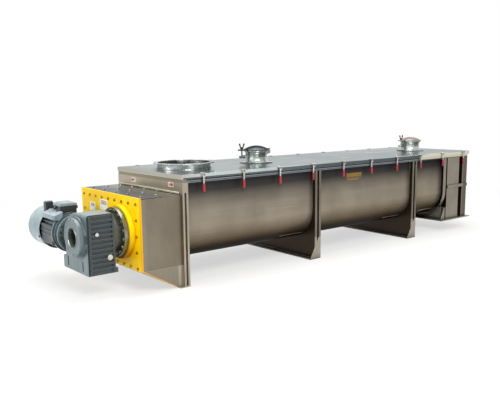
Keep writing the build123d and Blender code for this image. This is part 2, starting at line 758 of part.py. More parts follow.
def drive_ring():
    """Raised ring between the front plate and the gear unit."""
    ring = rod_x(RING_X0, PLATE_X0, -SHAFT_Y, SHAFT_Z, RING_R)
    return ring - rod_x(RING_X0, PLATE_X0, -SHAFT_Y, SHAFT_Z, RING_BORE_R)


def plate_bolt_places():
    """Y and Z of the bolts round the front plate."""
    across = [(n - (PLATE_BOLTS_ACROSS - 1) / 2) * PLATE_BOLT_PITCH_Y for n in range(PLATE_BOLTS_ACROSS)]
    down = [PLATE_BOLT_TOP - n * PLATE_BOLT_PITCH_Z for n in range(PLATE_BOLTS_DOWN)]
    places = [(PLATE_BOLT_SHIFT + y, z) for y in across for z in (down[0], down[-1])]
    for z in down[1:-1]:
        places += [(PLATE_BOLT_SHIFT + across[0], z), (PLATE_BOLT_SHIFT + across[-1], z)]
    return places


def drive_bolts():
    """Bolt heads on the front plate, the drive ring, the case cover and the motor adapter."""
    heads = []
    for y, z in plate_bolt_places():
        heads.append(hexagon_x(PLATE_X0 - BOLT_HEAD, PLATE_X0, y, z, PLATE_BOLT_AF))
    for n in range(RING_BOLTS):
        angle = 2 * pi * (n + 0.5) / RING_BOLTS
        y = -SHAFT_Y + RING_BOLT_R * cos(angle)
        z = SHAFT_Z + RING_BOLT_R * sin(angle)
        heads.append(hexagon_x(UNIT_FLANGE_X0 - BOLT_HEAD, UNIT_FLANGE_X0, y, z, RING_BOLT_AF))
    middle = (CASE_X0 + END_FACE_X) / 2
    hexagon = RegularPolygon(PLATE_BOLT_AF / 2, 6, major_radius=False)
    for i in range(COVER_BOLTS_ALONG):
        x = middle + (i - (COVER_BOLTS_ALONG - 1) / 2) * COVER_BOLT_PITCH_X
        for k in range(COVER_BOLTS_ACROSS):
            y = (k - (COVER_BOLTS_ACROSS - 1) / 2) * COVER_BOLT_PITCH_Y
            heads.append(Pos(x, y, SHAFT_Z + CASE_HALF_H) * extrude(hexagon, amount=BOLT_HEAD))
    for n in range(ADAPTER_BOLTS):
        angle = 2 * pi * (n + 0.5) / ADAPTER_BOLTS
        x = MOTOR_X + ADAPTER_BOLT_R * cos(angle)
        z = MOTOR_Z + ADAPTER_BOLT_R * sin(angle)
        if abs(x - MOTOR_X) < UNIT_L / 2 + ADAPTER_BOLT_AF and z < UNIT_Z0 + UNIT_BASE_H + ADAPTER_BOLT_AF:
            continue
        head = Rot(90, 0, 0) * extrude(RegularPolygon(ADAPTER_BOLT_AF / 2, 6, major_radius=False), amount=BOLT_HEAD)
        heads.append(Pos(x, ADAPTER_Y0, z) * head)
    return group(heads)


def gear_unit_housing():
    """Cast housing of the right-angle gear unit, with hub, neck, base, input collar and ribs."""
    z_mid = (UNIT_Z0 + UNIT_Z1) / 2
    y0 = UNIT_Y0 + UNIT_COVER_T
    section = RectangleRounded(UNIT_L, UNIT_Z1 - UNIT_Z0, UNIT_ROUND)
    body = extrude(Plane.XZ.offset(-UNIT_Y1) * Pos(MOTOR_X, z_mid) * section, amount=UNIT_Y1 - y0)
    body -= gear_unit_crown_cut()
    base_y1 = -SHAFT_Y + UNIT_BASE_BACK
    body += block(UNIT_X0, UNIT_X1, y0, base_y1, UNIT_Z0, UNIT_Z0 + UNIT_BASE_H)
    body += block(UNIT_X0, UNIT_X1 + UNIT_FOOT_W, y0, base_y1, UNIT_Z0, UNIT_Z0 + UNIT_FOOT_H)
    body += rod_x(HUB_X0, UNIT_X1, -SHAFT_Y, SHAFT_Z, HUB_R)
    body += rod_x(UNIT_X0 - HUB_SHOULDER_L, UNIT_X1, -SHAFT_Y, SHAFT_Z, HUB_SHOULDER_R - UNIT_COVER_T)
    body += rod_x(UNIT_X1 - HUB_L, UNIT_FLANGE_X0, -SHAFT_Y, SHAFT_Z, UNIT_NECK_R)
    body += rod_y(MOTOR_X, UNIT_Y1 - HUB_L, ADAPTER_Y0, MOTOR_Z, UNIT_INPUT_R)
    body -= rod_x(HUB_X0, UNIT_FLANGE_X0, -SHAFT_Y, SHAFT_Z, HUB_BORE_R)
    for y in POCKET_Y:
        z0 = UNIT_Z0 + UNIT_ROUND
        body -= block(UNIT_X0, UNIT_X0 + POCKET_D, y - POCKET_W / 2, y + POCKET_W / 2, z0, z0 + POCKET_H)
    return body + gear_unit_cover()


def gear_unit_crown_cut():
    """What the large round over the input side leaves off the housing's top."""
    y0 = UNIT_Y1 - UNIT_CROWN_R
    z0 = UNIT_Z1 - UNIT_CROWN_R
    corner = block(UNIT_X0, UNIT_X1, y0, UNIT_Y1, z0, UNIT_Z1)
    return corner - rod_x(UNIT_X0, UNIT_X1, y0, z0, UNIT_CROWN_R)


def gear_unit_cover():
    """Ribbed side cover of the gear unit."""
    inset = UNIT_ROUND / 2
    x0 = UNIT_X0 + inset
    x1 = UNIT_X1 - inset
    z0 = UNIT_Z0 + inset
    z1 = UNIT_Z1 - inset
    y1 = UNIT_Y0 + UNIT_COVER_T
    y0 = y1 - (UNIT_COVER_T - UNIT_RIB_D)
    cover = block(x0, x1, y0, y1, z0, z1)
    z_mid = (z0 + z1) / 2
    for n in range(UNIT_RIBS):
        z = z_mid + (n - (UNIT_RIBS - 1) / 2) * UNIT_RIB_PITCH
        cover += block(x0 + UNIT_RIB_T, x1 - UNIT_RIB_T, UNIT_Y0, y0, z - UNIT_RIB_T / 2, z + UNIT_RIB_T / 2)
    for side_x in (x0, x1 - UNIT_RIB_T):
        cover += block(side_x, side_x + UNIT_RIB_T, UNIT_Y0, y0, z0, z1)
    return cover


def gear_unit_flange():
    """Machined output flange of the gear unit, bolted to the drive ring."""
    flange = rod_x(UNIT_FLANGE_X0, RING_X0, -SHAFT_Y, SHAFT_Z, UNIT_FLANGE_R)
    return flange - rod_x(UNIT_FLANGE_X0, RING_X0, -SHAFT_Y, SHAFT_Z, HUB_BORE_R)


def output_sleeve():
    """Hollow output shaft of the gear unit."""
    x0 = HUB_X0 + SLEEVE_RECESS
    sleeve = rod_x(x0, RING_X0, -SHAFT_Y, SHAFT_Z, HUB_BORE_R - SHAFT_FIT)
    return sleeve - rod_x(x0, RING_X0, -SHAFT_Y, SHAFT_Z, SLEEVE_BORE_R)


def motor_adapter():
    """Flanged adapter between the gear unit and the motor."""
    adapter = rod_y(MOTOR_X, ADAPTER_Y0, ADAPTER_Y0 + ADAPTER_FLANGE_T, MOTOR_Z, ADAPTER_R)
    adapter += rod_y(MOTOR_X, ADAPTER_Y0, MOTOR_Y0, MOTOR_Z, ADAPTER_NECK_R)
    return adapter + rod_y(MOTOR_X, MOTOR_Y0 - ADAPTER_FLANGE_T, MOTOR_Y0, MOTOR_Z, ADAPTER_R)


def motor_frame():
    """Finned motor frame with its flange, cowl pads and rear bearing bore."""
    section = Circle(MOTOR_BODY_R)
    fin_h = MOTOR_FIN_R - MOTOR_BODY_R / 2
    fin = Pos((MOTOR_BODY_R / 2 + MOTOR_FIN_R) / 2, 0) * Rectangle(fin_h, MOTOR_FIN_T)
    for n in range(MOTOR_FINS):
        section += Rot(0, 0, 360 * (n + 0.5) / MOTOR_FINS) * fin
    fins = extrude(Plane.XZ.offset(-MOTOR_Y1 + COWL_LAP) * section, amount=MOTOR_Y1 - COWL_LAP - MOTOR_Y0)
    frame = Pos(MOTOR_X, 0, MOTOR_Z) * fins
    frame += rod_y(MOTOR_X, MOTOR_Y0, MOTOR_Y0 + MOTOR_FLANGE_T, MOTOR_Z, MOTOR_FLANGE_R)
    shield = rod_y(MOTOR_X, MOTOR_Y1 - 2 * COWL_LAP, MOTOR_Y1, MOTOR_Z, COWL_R - COWL_T - SEAT_FIT)
    shield &= Pos(MOTOR_X, MOTOR_Y1, MOTOR_Z) * Rot(0, 45, 0) * pad_cross()
    frame += shield
    return frame - rod_y(MOTOR_X, MOTOR_Y1 - MOTOR_BODY_L / 2, MOTOR_Y1, MOTOR_Z, MOTOR_SHAFT_R + SHAFT_FIT)


def pad_cross():
    """Four cowl pads and the rear bearing shield, as one cross-shaped blank."""
    depth = 2 * COWL_LAP
    bar = Box(2 * COWL_R, 2 * depth, PAD_W)
    return bar + Rot(0, 90, 0) * bar + Rot(90, 0, 0) * Cylinder(SHIELD_R, 2 * depth)


def rounded_can(radius, length, corner):
    """Solid can that stands on Z = 0 with its top edge rounded."""
    can = rod_z(0, 0, 0, length, radius)
    return fillet(can.edges().group_by(Axis.Z)[-1], corner)


def fan_cowl():
    """Drawn fan cowl with a rounded end and air slots."""
    cowl = rounded_can(COWL_R, COWL_L, COWL_ROUND)
    cowl -= rounded_can(COWL_R - COWL_T, COWL_L - COWL_T, COWL_ROUND - COWL_T)
    slot = Pos(COWL_R / 2, 0, COWL_L - COWL_T / 2) * Box(COWL_SLOT_L, COWL_SLOT_W, COWL_T)
    for n in range(COWL_SLOTS):
        cowl -= Rot(0, 0, 360 * n / COWL_SLOTS) * slot
    return Pos(MOTOR_X, COWL_Y0, MOTOR_Z) * Rot(-90, 0, 0) * cowl


def terminal_boxes():
    """Motor terminal box on the frame and the small fan box on the cowl."""
    y0 = MOTOR_Y0 + MOTOR_FLANGE_T + COWL_LAP
    y1 = y0 + TERMINAL_L
    top = MOTOR_Z + TERMINAL_TOP
    lid_z = top - TERMINAL_LID_T
    half = TERMINAL_W / 2
    lap = TERMINAL_LID_LAP
    box = block(MOTOR_X - half, MOTOR_X + half, y0, y1, MOTOR_Z + MOTOR_BODY_R, lid_z)
    box += block(MOTOR_X - half - lap, MOTOR_X + half + lap, y0 - lap, y1 + lap, lid_z, top)
    box -= rod_y(MOTOR_X, y0, y1, MOTOR_Z, hypot(MOTOR_FIN_R, MOTOR_FIN_T / 2))
    x0 = MOTOR_X - FAN_BOX_SIDE - FAN_BOX_W / 2
    y2 = COWL_Y0 + FAN_BOX_L / 2
    y3 = y2 + FAN_BOX_L
    small = block(x0, x0 + FAN_BOX_W, y2, y3, MOTOR_Z + SHIELD_R, MOTOR_Z + COWL_R + FAN_BOX_H)
    small -= rod_y(MOTOR_X, y2, y3, MOTOR_Z, COWL_R)
    return group([box, small])


def motor_rotor():
    """Motor shaft end with its cooling fan."""
    y0 = MOTOR_Y1 - MOTOR_BODY_L / 2
    fan_y0 = MOTOR_Y1 + FAN_L
    rotor = rod_y(MOTOR_X, y0, fan_y0 + FAN_L, MOTOR_Z, MOTOR_SHAFT_R)
    rotor += rod_y(MOTOR_X, fan_y0, fan_y0 + FAN_L, MOTOR_Z, 2 * MOTOR_SHAFT_R)
    rotor += rod_y(MOTOR_X, fan_y0, fan_y0 + COWL_T, MOTOR_Z, FAN_R)
    blade = Pos((FAN_R + MOTOR_SHAFT_R) / 2, FAN_L / 2, 0) * Box(FAN_R - MOTOR_SHAFT_R, FAN_L, COWL_T)
    for n in range(FAN_BLADES):
        rotor += Pos(MOTOR_X, fan_y0, MOTOR_Z) * Rot(0, 360 * n / FAN_BLADES, 0) * blade
    return rotor


def rotor_shaft(side, x0):
    """Stepped rotor shaft: drive journal, pipe through the trough and tail journal."""
    pipe_x0 = DRIVE_X + SEAL_L + PIPE_CLEAR
    pipe_x1 = CHUTE_X1 - CHUTE_T - PIPE_CLEAR
    outline = [
        (0, x0),
        (SHAFT_R, x0),
        (SHAFT_R, pipe_x0),
        (PIPE_R, pipe_x0),
        (PIPE_R, pipe_x1),
        (JOURNAL_R, pipe_x1),
        (JOURNAL_R, TAIL_X),
        (0, TAIL_X),
    ]
    return turned(outline, 0, side * SHAFT_Y, SHAFT_Z, "x")


def near_rotor_shaft():
    return rotor_shaft(-1, HUB_X0 + SLEEVE_RECESS + SHAFT_RECESS)


def far_rotor_shaft():
    return rotor_shaft(1, CASE_X0 + SEAL_GAP)


def paddle():
    """One arm with its shoe and pitched blade, pointing up from the shaft centre."""
    blade_z = SWEEP_R - BLADE_H
    arm = block(-ARM_W / 2, ARM_W / 2, -ARM_T / 2, ARM_T / 2, 0, blade_z + BLADE_H / 2)
    arm += block(-ARM_SHOE_L / 2, ARM_SHOE_L / 2, -ARM_SHOE_W / 2, ARM_SHOE_W / 2, 0, PIPE_R + ARM_SHOE_T)
    blade = Pos(0, 0, blade_z + BLADE_H / 2) * Box(BLADE_W, BLADE_T, BLADE_H)
    arm += Rot(0, 0, BLADE_PITCH_DEG) * blade
    arm -= rod_x(-BLADE_W, BLADE_W, 0, 0, PIPE_R + SEAT_FIT)
    return arm & rod_x(-BLADE_W, BLADE_W, 0, 0, SWEEP_R)


def rotor_paddles(side):
    """All paddles of one rotor, in opposed pairs that turn a quarter from station to station."""
    one = paddle()
    first = DRIVE_X + FIRST_ARM + (ARM_PITCH / 2 if side > 0 else 0)
    paddles = []
    for n in range(ARM_STATIONS):
        angle = side * ARM_START_DEG + 90 * n
        for flip in (0, 180):
            paddles.append(Pos(first + n * ARM_PITCH, side * SHAFT_Y, SHAFT_Z) * Rot(angle + flip, 0, 0) * one)
    return group(paddles)


def near_rotor_paddles():
    return rotor_paddles(-1)


def far_rotor_paddles():
    return rotor_paddles(1)


def flank_angle(radius):
    """Half the tooth's angle at a radius, on an involute flank."""
    pitch_r = SHAFT_Y
    base_r = pitch_r * cos(radians(GEAR_PRESSURE_DEG))
    pitch_involute = tan(radians(GEAR_PRESSURE_DEG)) - radians(GEAR_PRESSURE_DEG)
    here = acos(min(1, base_r / radius))
    half = pi / (2 * GEAR_TEETH) - GEAR_BACKLASH / (2 * pitch_r)
    return half + pitch_involute - (tan(here) - here)


def gear_outline(turn):
    """Closed outline of a spur gear, with three points on each flank."""
    tip_r = SHAFT_Y + MODULE
    root_r = SHAFT_Y - GEAR_ROOT_MODULES * MODULE
    points = []
    for n in range(GEAR_TEETH):
        middle = 2 * pi * (n + turn) / GEAR_TEETH
        for r, side in ((root_r, -1), (SHAFT_Y, -1), (tip_r, -1), (tip_r, 1), (SHAFT_Y, 1), (root_r, 1)):
            angle = middle + side * flank_angle(r)
            points.append((r * cos(angle), r * sin(angle)))
    return points


def sync_gear(side):
    """Spur gear on one rotor shaft, with a thin web between rim and hub."""
    turn = 0 if side < 0 else 0.5
    face = make_face(Polyline(*gear_outline(turn), close=True))
    x1 = END_FACE_X - GEAR_X + GEAR_FACE / 2
    x0 = x1 - GEAR_FACE
    gear = prism_x(Pos(side * SHAFT_Y, SHAFT_Z) * face, x0, x1)
    recess = (GEAR_FACE - GEAR_WEB_T) / 2
    for start in (x0, x1 - recess):
        ring = rod_x(start, start + recess, side * SHAFT_Y, SHAFT_Z, SHAFT_Y - MODULE - GEAR_RIM)
        gear -= ring - rod_x(start, start + recess, side * SHAFT_Y, SHAFT_Z, GEAR_HUB_R)
    return gear - rod_x(x0, x1, side * SHAFT_Y, SHAFT_Z, SHAFT_R + SEAT_FIT)


def near_sync_gear():
    return sync_gear(-1)


def far_sync_gear():
    return sync_gear(1)


def flanged_ring(x_seat, away, y, body_r, body_l, flange_r, flange_t, bore_r):
    """Flanged housing that stands on a plate at x_seat and points away from it."""
    outline = [(bore_r, 0), (flange_r, 0), (flange_r, flange_t), (body_r, flange_t), (body_r, body_l), (bore_r, body_l)]
    body = turned([(r, away * h) for r, h in outline], 0, 0, 0, "x")
    return Pos(x_seat, y, SHAFT_Z) * body


def shaft_bearings():
    """Flange bearings: two behind the front plate, two on the end plate, two at the tail."""
    seats = ((CASE_X0, 1, SHAFT_R), (END_FACE_X, -1, SHAFT_R), (TAIL_X - TAIL_PLATE_T, -1, JOURNAL_R))
    bearings = []
    for side in SIDES:
        for x_seat, away, shaft_r in seats:
            bearings.append(
                flanged_ring(
                    x_seat, away, side * SHAFT_Y, BEARING_R, BEARING_L,
                    BEARING_FLANGE_R, BEARING_FLANGE_T, shaft_r + SHAFT_FIT,
                )
            )
    return group(bearings)


def shaft_seals():
    """Packed shaft seals inside the drive end plate and outside the tail end plate."""
    seals = []
    for side in SIDES:
        for x_seat, shaft_r in ((DRIVE_X, SHAFT_R), (CHUTE_X1, JOURNAL_R)):
            seals.append(
                flanged_ring(
                    x_seat, 1, side * SHAFT_Y, SEAL_R, SEAL_L,
                    SEAL_FLANGE_R, SEAL_FLANGE_T, shaft_r + SEAL_GAP,
                )
            )
    return group(seals)


def clamp_places():
    """X of each lid clamp."""
    return [LID_X0 + CLAMP_FIRST + n * CLAMP_PITCH for n in range(CLAMP_COUNT)]


def clamp_bracket():
    """Strap over the lid edge with two ears and the lever pin, at X = 0 on the near side."""
    ear_x = LEVER_W / 2 + LEVER_SIDE_GAP
    strap = block(-ear_x - EAR_T, ear_x + EAR_T, -CLAMP_Y - EAR_R, -LID_HALF + STRAP_IN, LID_TOP, LID_TOP + STRAP_T)
    bracket = strap
    for x0 in (-ear_x - EAR_T, ear_x):
        bracket += block(x0, x0 + EAR_T, -CLAMP_Y - EAR_R, -LID_HALF, CLAMP_Z - EAR_R, LID_TOP + STRAP_T)
    return bracket + rod_x(-ear_x - EAR_T, ear_x + EAR_T, -CLAMP_Y, CLAMP_Z, CLAMP_PIN_R)


def clamp_brackets():
    """The fixed half of every lid clamp."""
    one = clamp_bracket()
    brackets = []
    for x in clamp_places():
        brackets += mirrored_pair(Pos(x, 0, 0) * one)
    return group(brackets)


def clamp_lever():
    """Lever that hooks under the rim, with its dipped grip, at X = 0 on the near side."""
    half = LEVER_W / 2
    grip_top = CLAMP_Z - ARM_TO_GRIP
    lever = rod_x(-half, half, -CLAMP_Y, CLAMP_Z, KNUCKLE_R)
    lever += block(-half, half, -CLAMP_Y - LEVER_T / 2, -CLAMP_Y + LEVER_T / 2, grip_top, CLAMP_Z)
    nose_z = RIM_Z - NOSE_GAP
    lever += block(-half, half, -CLAMP_Y, -RIM_HALF + NOSE_IN, nose_z - NOSE_H, nose_z)
    lever += rod_z(0, -CLAMP_Y, grip_top - GRIP_L + GRIP_R, grip_top, GRIP_R)
    lever += Pos(0, -CLAMP_Y, grip_top - GRIP_L + GRIP_R) * Sphere(GRIP_R)
    return lever - rod_x(-half, half, -CLAMP_Y, CLAMP_Z, CLAMP_PIN_R + SHAFT_FIT)


NODES = {
    "trough_shell": trough_shell,
    "drive_end_plate": drive_end_plate,
    "tail_end_plate": tail_end_plate,
    "drive_support_frame": drive_support_frame,
    "middle_support_frame": middle_support_frame,
    "rear_support_frame": rear_support_frame,
    "discharge_chute": discharge_chute,
    "tail_bearing_frame": tail_bearing_frame,
    "trough_rim": trough_rim,
    "lid_gasket": lid_gasket,
    "lid": lid,
    "inlet_collar": inlet_collar,
    "front_manway_neck": front_manway_neck,
    "rear_manway_neck": rear_manway_neck,
    "front_manway_cover": front_manway_cover,
    "rear_manway_cover": rear_manway_cover,
    "front_wing_nut": front_wing_nut,
    "rear_wing_nut": rear_wing_nut,
    "gear_case": gear_case,
    "gear_case_cover": gear_case_cover,
    "gear_case_plate": gear_case_plate,
    "drive_ring": drive_ring,
    "drive_bolts": drive_bolts,
    "gear_unit_housing": gear_unit_housing,
    "gear_unit_flange": gear_unit_flange,
    "output_sleeve": output_sleeve,
    "motor_adapter": motor_adapter,
    "motor_frame": motor_frame,
    "fan_cowl": fan_cowl,
    "terminal_boxes": terminal_boxes,
    "motor_rotor": motor_rotor,
    "near_rotor_shaft": near_rotor_shaft,
    "far_rotor_shaft": far_rotor_shaft,
    "near_rotor_paddles": near_rotor_paddles,
    "far_rotor_paddles": far_rotor_paddles,
    "near_sync_gear": near_sync_gear,
    "far_sync_gear": far_sync_gear,
    "shaft_bearings": shaft_bearings,
    "shaft_seals": shaft_seals,
    "clamp_brackets": clamp_brackets,
}


def main():
    os.makedirs("parts", exist_ok=True)
    for name, make in NODES.items():
        export_step(make(), f"parts/{name}.step")
    near, far = mirrored_pair(clamp_lever())
    for n, x in enumerate(clamp_places(), start=1):
        export_step(Pos(x, 0, 0) * near, f"parts/clamp_lever_near_{n:02d}.step")
        export_step(Pos(x, 0, 0) * far, f"parts/clamp_lever_far_{n:02d}.step")


main()
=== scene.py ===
"""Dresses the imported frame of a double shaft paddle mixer.

The CAD nodes keep their shape and get their metals and paints. The clamp levers, which
the frame only stands in for, and the small parts that it leaves out are modelled here:
grips, hooks, weld beads, manway seals and pins, plugs, pads, hems and blank films.
Sizes are in millimetres, and finished meshes are in metres.
"""

from __future__ import annotations

import json
import logging
import math
from collections.abc import Callable
from dataclasses import dataclass, field
from enum import Enum

import bmesh
import bpy
from mathutils import Matrix, Vector


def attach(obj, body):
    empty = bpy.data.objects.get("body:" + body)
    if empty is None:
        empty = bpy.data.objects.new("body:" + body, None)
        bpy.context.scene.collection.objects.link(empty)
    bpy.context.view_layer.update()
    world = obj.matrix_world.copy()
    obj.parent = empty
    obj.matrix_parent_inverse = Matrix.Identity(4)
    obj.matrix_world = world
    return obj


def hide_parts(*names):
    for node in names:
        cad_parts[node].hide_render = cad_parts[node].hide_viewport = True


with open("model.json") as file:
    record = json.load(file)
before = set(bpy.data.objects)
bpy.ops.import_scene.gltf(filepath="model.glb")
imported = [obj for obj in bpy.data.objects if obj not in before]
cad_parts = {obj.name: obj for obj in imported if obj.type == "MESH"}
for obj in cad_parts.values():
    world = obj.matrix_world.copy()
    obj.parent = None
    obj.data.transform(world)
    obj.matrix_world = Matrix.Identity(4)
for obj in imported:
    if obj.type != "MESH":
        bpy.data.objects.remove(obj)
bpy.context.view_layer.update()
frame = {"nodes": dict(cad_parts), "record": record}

LOG = logging.getLogger("mixer")
MM = 0.001
LETTERS = "XYZ"

Place = tuple[float, float, float]
Box = tuple[Place, Place]
Colour = tuple[float, float, float, float]
Test = Callable[[Vector, Vector], bool]
Input = float | Place | Colour | bpy.types.NodeSocket


class Axis(Enum):
    """A direction, with the turn that lays a round part along it."""

    X = (0.0, math.pi / 2, 0.0)
    Y = (-math.pi / 2, 0.0, 0.0)
    Z = (0.0, 0.0, 0.0)

    def step(self) -> Vector:
        """Give the step of length one along this axis."""
        return Vector([1.0 if self.name == letter else 0.0 for letter in LETTERS])


def metres(place: Place) -> Vector:
    """Turn a place in millimetres into one in metres."""
    return Vector(place) * MM


def linear(code: str) -> Colour:
    """Turn an sRGB hex colour into Blender's linear colour.

    Args:
        code: Six hex digits.

    Returns:
        Red, green, blue and an alpha of one.
    """
    channels = [int(code[n : n + 2], 16) / 255 for n in (0, 2, 4)]
    light = [c / 12.92 if c <= 0.04045 else ((c + 0.055) / 1.055) ** 2.4 for c in channels]
    return (light[0], light[1], light[2], 1.0)


def feed(tree: bpy.types.NodeTree, node: bpy.types.Node, inputs: dict[str | int, Input]) -> None:
    """Give a node's inputs their values, or link sockets to them.

    Args:
        tree: The node's tree.
        node: The node.
        inputs: What each input gets: a value, or the output socket that goes to it.
    """
    for key, value in inputs.items():
        if isinstance(value, bpy.types.NodeSocket):
            tree.links.new(value, node.inputs[key])
        else:
            node.inputs[key].default_value = value


def add_node(
    tree: bpy.types.NodeTree, kind: str, inputs: dict[str | int, Input] | None = None, **settings: object
) -> bpy.types.Node:
    """Add one node with its settings and links.

    Args:
        tree: Node tree that gets the node.
        kind: Blender's name of the node.
        inputs: What each input gets: a value, or the output socket that goes to it.
        settings: The node's own attributes.

    Returns:
        The new node.
    """
    node = tree.nodes.new(kind)
    for name, value in settings.items():
        setattr(node, name, value)
    feed(tree, node, inputs or {})
    return node


def laid(
    tree: bpy.types.NodeTree,
    under: Input,
    over: Input,
    value: bpy.types.NodeSocket,
    span: tuple[float, float],
    share: float = 1.0,
) -> bpy.types.NodeSocket:
    """Lay one colour over another, more of it as a value runs through a span.

    Args:
        tree: The material's node tree.
        under: The colour below.
        over: The colour that is laid over it.
        value: What decides how much of it shows.
        span: The value at which none of it shows, and the one at which the most does.
        share: The most of it that shows.

    Returns:
        The colour that results.
    """
    limits = {"From Min": span[0], "From Max": span[1], "To Min": 0.0, "To Max": share}
    much = add_node(tree, "ShaderNodeMapRange", {"Value": value} | limits).outputs[0]
    colours = {0: much, 6: under, 7: over}
    return add_node(tree, "ShaderNodeMix", colours, data_type="RGBA", clamp_result=True).outputs[2]


@dataclass(frozen=True)
class Finish:
    """A surface finish that makes its material once."""

    name: str

    def material(self) -> bpy.types.Material:
        """Make the material, or return the one made before.

        Returns:
            The material of this finish.
        """
        found = bpy.data.materials.get(self.name)
        if found is not None:
            return found
        made = bpy.data.materials.new(self.name)
        made.use_nodes = True
        tree = made.node_tree
        tree.nodes.clear()
        shader = add_node(tree, "ShaderNodeBsdfPrincipled")
        add_node(tree, "ShaderNodeOutputMaterial", {"Surface": shader.outputs[0]})
        self.paint(tree, shader)
        return made

    def paint(self, tree: bpy.types.NodeTree, shader: bpy.types.Node) -> None:
        """Set the shader's sockets and the nodes before it.

        Args:
            tree: The material's node tree.
            shader: Its Principled shader.
        """
        raise NotImplementedError


@dataclass(frozen=True)
class Fade:
    """A tone that comes in along one axis: full at one place in millimetres, gone at the other."""

    axis: Axis
    full: float
    gone: float
    tone: str
    share: float = 1.0


@dataclass(frozen=True)
class LitSide:
    """Painted light and shade on the faces that look one way, as the surroundings give them."""

    way: Place
    tone: str
    share: float = 1.0


@dataclass(frozen=True)
class PaintedReflection:
    """Painted reflections: soft stretched patches, as a sheet that isn't quite flat mirrors what is round it.
    """

    tone: str
    pitch_mm: Place
    span: tuple[float, float]
    share: float = 1.0


@dataclass(frozen=True)
class Zone:
    """A tone inside a box, given by its lowest and highest corner in millimetres."""

    low: Place
    high: Place
    tone: str
    share: float = 1.0


